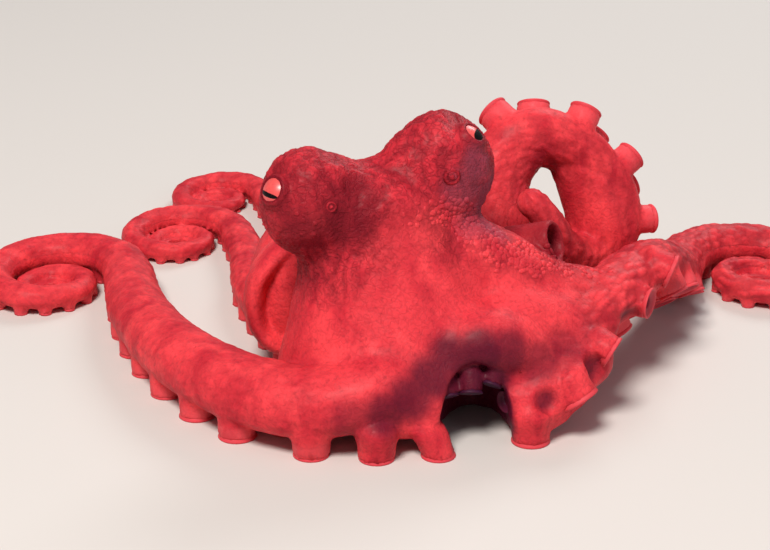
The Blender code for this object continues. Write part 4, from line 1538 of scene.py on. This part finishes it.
@dataclass(frozen=True)
class SkinFinish:
    """Live octopus skin: wet and soft, with red pigment in cells that wrinkles part.

    Cells of red pigment lie in a clear film over milky flesh.  The eye sees deep red blotches with
    soft edges, light that glows a little through thin edges, and broad dull glints, because the wet
    film follows every wrinkle.  Shade is painted in: a dark line in the creases, purple round the
    mouth, cool grey by the left eye and dark red in recesses; and light is painted as lighter red
    where the skin catches it.
    """

    # Lighter red of the blotches, which painted light also uses where the skin catches the light.
    blotch_and_painted_light: str = "F2474E"
    mid: str = "C62A38"
    # Painted shade in wrinkles, folds, and between scales and beads; freckles, which are real, use it too.
    crease: str = "5E0A18"
    pale: str = "E2525A"
    # Purple painted shade round the mouth, in dents and on a shaded arm.
    dusk: str = "3C0722"
    # Cool grey painted shade by the left eye.
    ash: str = "7E3A4C"
    # The right turret's dark red, which painted shade in recesses uses too.
    crimson: str = "6A0A1A"
    # Sizes across, in millimetres.
    blotch: float = 16.0      # a blotch on such an animal is one to two centimetres across
    freckle: float = 2.4      # a cell is under half a millimetre, too fine to show, so freckles are coarser
    wrinkle: float = 3.2      # the finest wrinkles are under a millimetre and are drawn coarser, as these
    film: float = 6.0         # patches in which the film is thicker or thinner
    grain: float = 1.4        # skin grain is near a quarter of a millimetre and is drawn coarser
    drawn_down: tuple[float, float, float] = (1.0, 1.0, 0.45)     # blotches run down the body
    glow: float = 0.003       # metres that light travels in the flesh
    relief: float = 0.0006    # metres of height in the finest relief

    def material(self) -> bpy.types.Material:
        """Make the material.

        Returns:
            The material.
        """
        material, shader = new_material("wet_octopus_skin")
        nodes = Nodes(material.node_tree, Places.PIECE)
        add = nodes.add
        area = {kind: add("ShaderNodeAttribute", attribute_name=kind.value, output="Fac") for kind in Area}
        crease, bead = (add("ShaderNodeAttribute", attribute_name=name, output="Fac")
                        for name in ("crease", "bead"))
        dark = linear(self.crease)
        # Pigment: broad blotches, fewer on the wrinkled head, and freckles.
        place = add(VECTOR_MATH, nodes.place, self.drawn_down, operation="MULTIPLY")
        blotch = add(NOISE, inputs={"Vector": place, "Scale": nodes.frequency(self.blotch), "Detail": 4.0,
                                    "Distortion": 0.8})
        blotch = add(MATH, blotch, 3.0, -1.0, operation="MULTIPLY_ADD", use_clamp=True)
        spread = add(MATH, area[Area.NET], -0.75, 1.05, operation="MULTIPLY_ADD")
        blotch = add(MATH, blotch, spread, operation="MULTIPLY", use_clamp=True)
        # Painted light: where the skin catches the light it takes the lighter red.
        blotch = add(MATH, blotch, area[Area.PAINTED_LIGHT], operation="MAXIMUM")
        colour = add(BLEND, blotch, inputs={6: linear(self.mid), 7: linear(self.blotch_and_painted_light)}, data_type="RGBA",
                     output=2)
        freckle = add(NOISE, inputs={"Vector": nodes.place, "Scale": nodes.frequency(self.freckle),
                                     "Detail": 3.0})
        freckle = add(MATH, freckle, 4.0, -2.1, operation="MULTIPLY_ADD", use_clamp=True)
        # Wrinkles too fine for the mesh are darker lines of painted shade, and dents in the light.
        fine = nodes.creases(nodes.frequency(self.wrinkle), 10.0)
        wrinkled = add(MATH, area[Area.NET], 0.3, 0.12, operation="MULTIPLY_ADD")
        place = add("ShaderNodeAttribute", attribute_name="arm_place", output="Vector")
        place = add(VECTOR_MATH, place, (SCALE_STRETCH * MM, MM, MM), operation="MULTIPLY")
        scale = nodes.domes(nodes.frequency(SCALE_SIZE), place)
        scale = add(MATH, scale, area[Area.SCALES], operation="MULTIPLY")
        gaps = add(MATH, area[Area.SCALES], scale, operation="SUBTRACT")
        # Freckles are darker pigment; painted shade darkens the wrinkles and folds, the gaps between scales
        # and the feet of beads.
        foot = add(MATH, 0.45, bead, operation="SUBTRACT")
        between = add(MATH, area[Area.WARTS], foot, operation="MULTIPLY", use_clamp=True)
        for share, strength in ((freckle, 0.35), (fine, wrinkled), (crease, 0.55), (gaps, 0.3),
                                (between, 1.0)):
            share = add(MATH, share, strength, operation="MULTIPLY")
            colour = add(BLEND, share, inputs={6: colour, 7: dark}, data_type="RGBA", output=2)
        # Where the skin is paler round the suckers, or dark red on the right turret, it takes most of that
        # colour; so does painted shade, dark red in recesses, purple round the mouth and cool grey by the
        # left eye.
        for kind, shade, strength in ((Area.PALE, self.pale, 0.9), (Area.CRIMSON_AND_SHADE, self.crimson, 0.87),
                                      (Area.PURPLE_SHADE, self.dusk, 0.92), (Area.COOL_SHADE, self.ash, 0.85)):
            share = add(MATH, area[kind], strength, operation="MULTIPLY")
            colour = add(BLEND, share, inputs={6: colour, 7: linear(shade)}, data_type="RGBA", output=2)
        # The film is wetter in some places than in others, and follows the grain.
        film = add(NOISE, inputs={"Vector": nodes.place, "Scale": nodes.frequency(self.film)})
        grain = add(NOISE, inputs={"Vector": nodes.place, "Scale": nodes.frequency(self.grain),
                                   "Detail": 4.0})
        sunk = add(MATH, fine, -0.5, operation="MULTIPLY")
        height = add(MATH, grain, 1.4, sunk, operation="MULTIPLY_ADD")
        rougher = add(MATH, area[Area.NET], 0.65, 0.35, operation="MULTIPLY_ADD")
        height = add(MATH, height, rougher, operation="MULTIPLY")
        height = add(MATH, scale, 0.9, height, operation="MULTIPLY_ADD")
        set_inputs(shader, {
            "Base Color": colour, "Roughness": add(MATH, film, 0.25, 0.43, operation="MULTIPLY_ADD"),
            "IOR": 1.36, "Specular IOR Level": 0.18, "Subsurface Weight": 0.12,
            "Subsurface Radius": (1.0, 0.25, 0.18), "Subsurface Scale": self.glow,
            "Coat Weight": 0.05, "Coat Roughness": 0.3,
            "Normal": add("ShaderNodeBump", inputs={"Height": height, "Strength": 0.7,
                                                    "Distance": self.relief})})
        return material


@dataclass(frozen=True)
class SuckerFinish:
    """The soft, smooth skin of a sucker, with little pigment and no wrinkles.

    The muscle shows through it, so the eye sees a paler, milky red on the rim, with a dull and even
    shine.  Painted shade darkens it down the hole, and makes the cups over the mouth dark purple.
    """

    rim: str = "D4424C"
    # Painted shade down each cup's hole.
    hole: str = "7A1830"
    # Painted shade that makes the cups over the mouth dark purple.
    painted_shade: str = "3A0C2A"
    grain: float = 1.2        # mm; the real grain is too fine to show and is drawn coarser
    glow: float = 0.003       # metres that light travels in the flesh
    relief: float = 0.0003    # metres of height in the grain

    def material(self) -> bpy.types.Material:
        """Make the material.

        Returns:
            The material.
        """
        material, shader = new_material("sucker_skin")
        nodes = Nodes(material.node_tree, Places.PIECE)
        add = nodes.add
        colour = linear(self.rim)
        # Painted shade: down each cup's hole, and over the cups that hang over the mouth.
        for name, shade in (("hole_shade", self.hole), ("painted_shade", self.painted_shade)):
            share = add("ShaderNodeAttribute", attribute_name=name, output="Fac")
            colour = add(BLEND, share, inputs={6: colour, 7: linear(shade)}, data_type="RGBA", output=2)
        grain = add(NOISE, inputs={"Vector": nodes.place, "Scale": nodes.frequency(self.grain)})
        set_inputs(shader, {
            "Base Color": colour, "Roughness": 0.55, "Specular IOR Level": 0.22,
            "Subsurface Weight": 0.15, "Subsurface Radius": (1.0, 0.3, 0.2), "Subsurface Scale": self.glow,
            "Normal": add("ShaderNodeBump", inputs={"Height": grain, "Strength": 0.3,
                                                    "Distance": self.relief})})
        return material


@dataclass(frozen=True)
class EyeFinish:
    """The ball of an eye: an iris of coral streaks under a clear wet cornea.

    The eye sees a brighter red than the skin's, uneven in fine streaks, behind a soft clear shine.
    """

    iris: str = "F4605A"
    shade: str = "C83C42"
    streak: float = 1.2       # mm; real streaks are a few tenths across and are drawn coarser

    def material(self) -> bpy.types.Material:
        """Make the material.

        Returns:
            The material.
        """
        material, shader = new_material("coral_iris")
        nodes = Nodes(material.node_tree, Places.PIECE)
        streaks = nodes.add(NOISE, inputs={"Vector": nodes.place, "Detail": 4.0,
                                           "Scale": nodes.frequency(self.streak)})
        colour = nodes.add(BLEND, streaks, inputs={6: linear(self.iris), 7: linear(self.shade)},
                           data_type="RGBA", output=2)
        set_inputs(shader, {"Base Color": colour, "Roughness": 0.4, "Coat Weight": 0.35,
                            "Coat Roughness": 0.2})
        return material


@dataclass(frozen=True)
class PupilFinish:
    """The slit of a pupil: a hole into the dark of the eye, so black with hardly a shine."""

    black: str = "060203"

    def material(self) -> bpy.types.Material:
        """Make the material.

        Returns:
            The material.
        """
        material, shader = new_material("wet_black_pupil")
        set_inputs(shader, {"Base Color": linear(self.black), "Roughness": 0.5,
                            "Specular IOR Level": 0.15})
        return material


@dataclass(frozen=True)
class FloorFinish:
    """Matt paint on a studio floor: a pale even grey without a shine."""

    grey: str = "CFCCC8"

    def material(self) -> bpy.types.Material:
        """Make the material.

        Returns:
            The material.
        """
        material, shader = new_material("matt_floor_paint")
        set_inputs(shader, {"Base Color": linear(self.grey), "Roughness": 0.8})
        return material


# ----------------------------------------------------------------------------- eyes

@dataclass
class Eyeball:
    """One eye: a ball, and the slit of its pupil lying on it."""

    eye: Eye
    radius: float
    slit: tuple[float, float]     # half its length and half its height
    tilt: float
    drop: float = 0.26        # how far below the middle of the opening the pupil lies, in radians
    lift: float = 0.12        # of the pupil off the ball
    fullness: float = 3.5     # power by which the pupil keeps its height towards its ends
    steps: int = 40           # of its mesh along it
    rows: int = 6             # and across it

    def ball(self, name: str, finish: bpy.types.Material) -> bpy.types.Object:
        """The ball itself.

        Args:
            name: The piece's name.
            finish: Its material.

        Returns:
            The ball, still in the layout.
        """
        clay = Clay()
        axes = (self.eye.across, self.eye.up, self.eye.aim)
        clay.add_ellipsoid(self.eye.centre, (self.radius,) * 3, axes, sides=64)
        made = mesh_object(name, np.vstack(clay.corners), clay.faces)
        made.data.materials.append(finish)
        return made

    def pupil(self, name: str, finish: bpy.types.Material) -> bpy.types.Object:
        """The slit, as a thin lens on the ball.

        Args:
            name: The piece's name.
            finish: Its material.

        Returns:
            The slit, still in the layout.
        """
        steps, rows = self.steps, self.rows
        half, tall = self.slit
        turn = -self.tilt * self.eye.side.value
        corners = []
        for row in np.linspace(-1, 1, rows + 1):
            for step in np.linspace(-0.5, 0.5, steps + 1):
                x = half * math.sin(math.pi * step)
                y = tall * row * (1 - abs(x / half) ** self.fullness) ** 0.5
                across = (x * math.cos(turn) - y * math.sin(turn)) / self.radius
                up = (x * math.sin(turn) + y * math.cos(turn)) / self.radius - self.drop
                ray = (self.eye.across * math.sin(across) + (self.eye.up * math.sin(up)
                       + self.eye.aim * math.cos(up)) * math.cos(across))
                corners.append(self.eye.centre + ray * (self.radius + self.lift))
        wide = steps + 1
        starts = [row * wide + step for row in range(rows) for step in range(steps)]
        sheet = [(start, start + 1, start + wide + 1, start + wide) for start in starts]
        made = mesh_object(name, np.array(corners), sheet)
        made.data.materials.append(finish)
        return made


# ----------------------------------------------------------------------------- studio

@dataclass(frozen=True)
class Lamp:
    """A soft round light: where it stands from what the camera looks at, its width and its power."""

    name: str
    place: tuple[float, float, float]     # metres
    size: float                           # metres
    power: float                          # watts
    shade: str


@dataclass
class Studio:
    """A pale floor, soft lights and a camera that looks down on the animal's face."""

    target: tuple[float, float, float] = (0.0, 70.0, 71.5)
    distance: float = 1100.0
    elevation: float = math.radians(22.0)
    lens: float = 102.857
    sensor: float = 36.0
    lamps: tuple[Lamp, ...] = (
        Lamp("key", (-0.6, -1.5, 2.5), 1.0, 105.0, "FFF6F0"),
        Lamp("fill", (2.2, -1.2, 1.0), 1.8, 8.0, "F0F2FF"),
        Lamp("rim", (0.9, 2.0, 1.6), 1.2, 26.0, "FFFFFF"))
    sky: str = "F2F2F4"
    sky_strength: float = 0.22
    floor_half: float = 12.0              # metres

    def build(self, shift: np.ndarray) -> None:
        """Make the floor, the lights and the camera.

        Args:
            shift: From the layout to the frame, in millimetres.
        """
        bpy.context.scene.view_settings.view_transform = "Standard"
        target = Vector((np.array(self.target) + shift) * MM)
        self.add_camera(target)
        for lamp in self.lamps:
            self.add_lamp(lamp, target)
        world = bpy.data.worlds.new("studio")
        world.use_nodes = True
        set_inputs(world.node_tree.nodes["Background"], {"Color": linear(self.sky),
                                                         "Strength": self.sky_strength})
        bpy.context.scene.world = world
        corners = np.array(((-1, -1, 0), (1, -1, 0), (1, 1, 0), (-1, 1, 0)))
        floor = mesh_object("floor", self.floor_half * corners, [(0, 1, 2, 3)])
        floor.data.materials.append(FloorFinish().material())

    def add_camera(self, target: Vector) -> None:
        """Set up the camera.

        Args:
            target: What it looks at.
        """
        back = Vector((0.0, -math.cos(self.elevation), math.sin(self.elevation)))
        data = bpy.data.cameras.new("camera")
        data.lens, data.sensor_width = self.lens, self.sensor
        data.dof.use_dof = False
        camera = bpy.data.objects.new("camera", data)
        camera.location = target + back * self.distance * MM
        camera.rotation_euler = (-back).to_track_quat("-Z", "Y").to_euler()
        bpy.context.scene.collection.objects.link(camera)
        bpy.context.scene.camera = camera

    def add_lamp(self, lamp: Lamp, target: Vector) -> None:
        """Set up one light.

        Args:
            lamp: The light.
            target: What it shines at.
        """
        light = bpy.data.lights.new(lamp.name, "AREA")
        light.shape, light.size, light.energy = "DISK", lamp.size, lamp.power
        light.color = linear(lamp.shade)[:3]
        body = bpy.data.objects.new(lamp.name, light)
        body.location = target + Vector(lamp.place)
        body.rotation_euler = (target - body.location).to_track_quat("-Z", "Y").to_euler()
        bpy.context.scene.collection.objects.link(body)


# ----------------------------------------------------------------------------- putting it together

EYE_NODES = {Sides.RIGHT: "eye_right", Sides.LEFT: "eye_left"}


def frame_shift(head: Head) -> np.ndarray:
    """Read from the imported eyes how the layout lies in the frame.

    Args:
        head: The head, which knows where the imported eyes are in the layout.

    Returns:
        The way from the layout to the frame, in millimetres.
    """
    moves = []
    for side, node in EYE_NODES.items():
        low, high = (np.array(corner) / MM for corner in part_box(node))
        moves.append((low + high) / 2 - head.eye(side, packed=True).centre)
    shift = np.mean(moves, axis=0)
    shift[2] = 0.0
    return shift


def settle(piece: bpy.types.Object, shift: np.ndarray, replaced: Sequence[str] = ()) -> None:
    """Move a finished mesh from the layout onto the frame and tell the frame about it.

    Args:
        piece: The finished piece.
        shift: From the layout to the frame, in millimetres.
        replaced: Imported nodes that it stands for.
    """
    write_points(piece.data, (read_points(piece.data) + shift) * MM)
    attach(piece, BODY)
    if replaced:
        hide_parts(*replaced)
    LOG.info("%s: %d faces", piece.name, len(piece.data.polygons))


def main() -> None:
    """Build the skin, the suckers and the eyes, then the studio round them."""
    logging.basicConfig(level=logging.INFO, format="%(name)s %(message)s")
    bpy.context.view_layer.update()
    head = Head()
    shift = frame_shift(head)
    lines = {arm.name: arm.line() for arm in ARMS}
    rows = Suckers()
    suckers = {arm.name: rows.place(arm, lines[arm.name]) for arm in ARMS}

    clay = Clay()
    clay.add_object(head.press(lines))
    LOG.info("head and crown pressed")
    Mantle().press(clay)
    funnel = Funnel()
    funnel.press(clay)
    for arm in ARMS:
        arm.press(clay, lines[arm.name])
        rows.press_stalks(clay, suckers[arm.name], flare=0.15)
    rows.press_stalks(clay, rows.rolled_out)
    rows.press_stalks(clay, rows.over_mouth, flare=0.2)
    voxel, faces = ((SKIN_VOXEL, SKIN_FACES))
    skin = Skin(head, funnel, lines, voxel, faces)
    wet_skin = SkinFinish().material()
    piece = skin.build(clay, wet_skin)
    papillae = Papillae()
    settle(papillae.build(piece, wet_skin), shift)
    settle(papillae.ringed(piece, wet_skin), shift)
    flesh = [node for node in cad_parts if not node.startswith("eye_")]
    settle(piece, shift, flesh)

    finish = SuckerFinish().material()
    every = [sucker for name in suckers for sucker in suckers[name]]
    large = [sucker for sucker in every if sucker.radius > rows.large] + rows.apart()
    small = [sucker for sucker in every if sucker.radius <= rows.large]
    for seed, (name, group, cup) in enumerate((("suckers_large", large, rows.cup(28, fine=True)),
                                               ("suckers_small", small, rows.cup(10, fine=False)))):
        settle(rows.build(name, group, cup, finish, seed), shift)
        bpy.data.objects.remove(cup)

    iris, black = EyeFinish().material(), PupilFinish().material()
    for side, node in EYE_NODES.items():
        eyeball = Eyeball(head.eye(side), head.eye_radius, *head.pupils[side])
        settle(eyeball.ball(f"{node}_ball", iris), shift, [node])
        settle(eyeball.pupil(f"{node}_pupil", black), shift)

    Studio().build(shift)


if __name__ == "__main__":
    main()
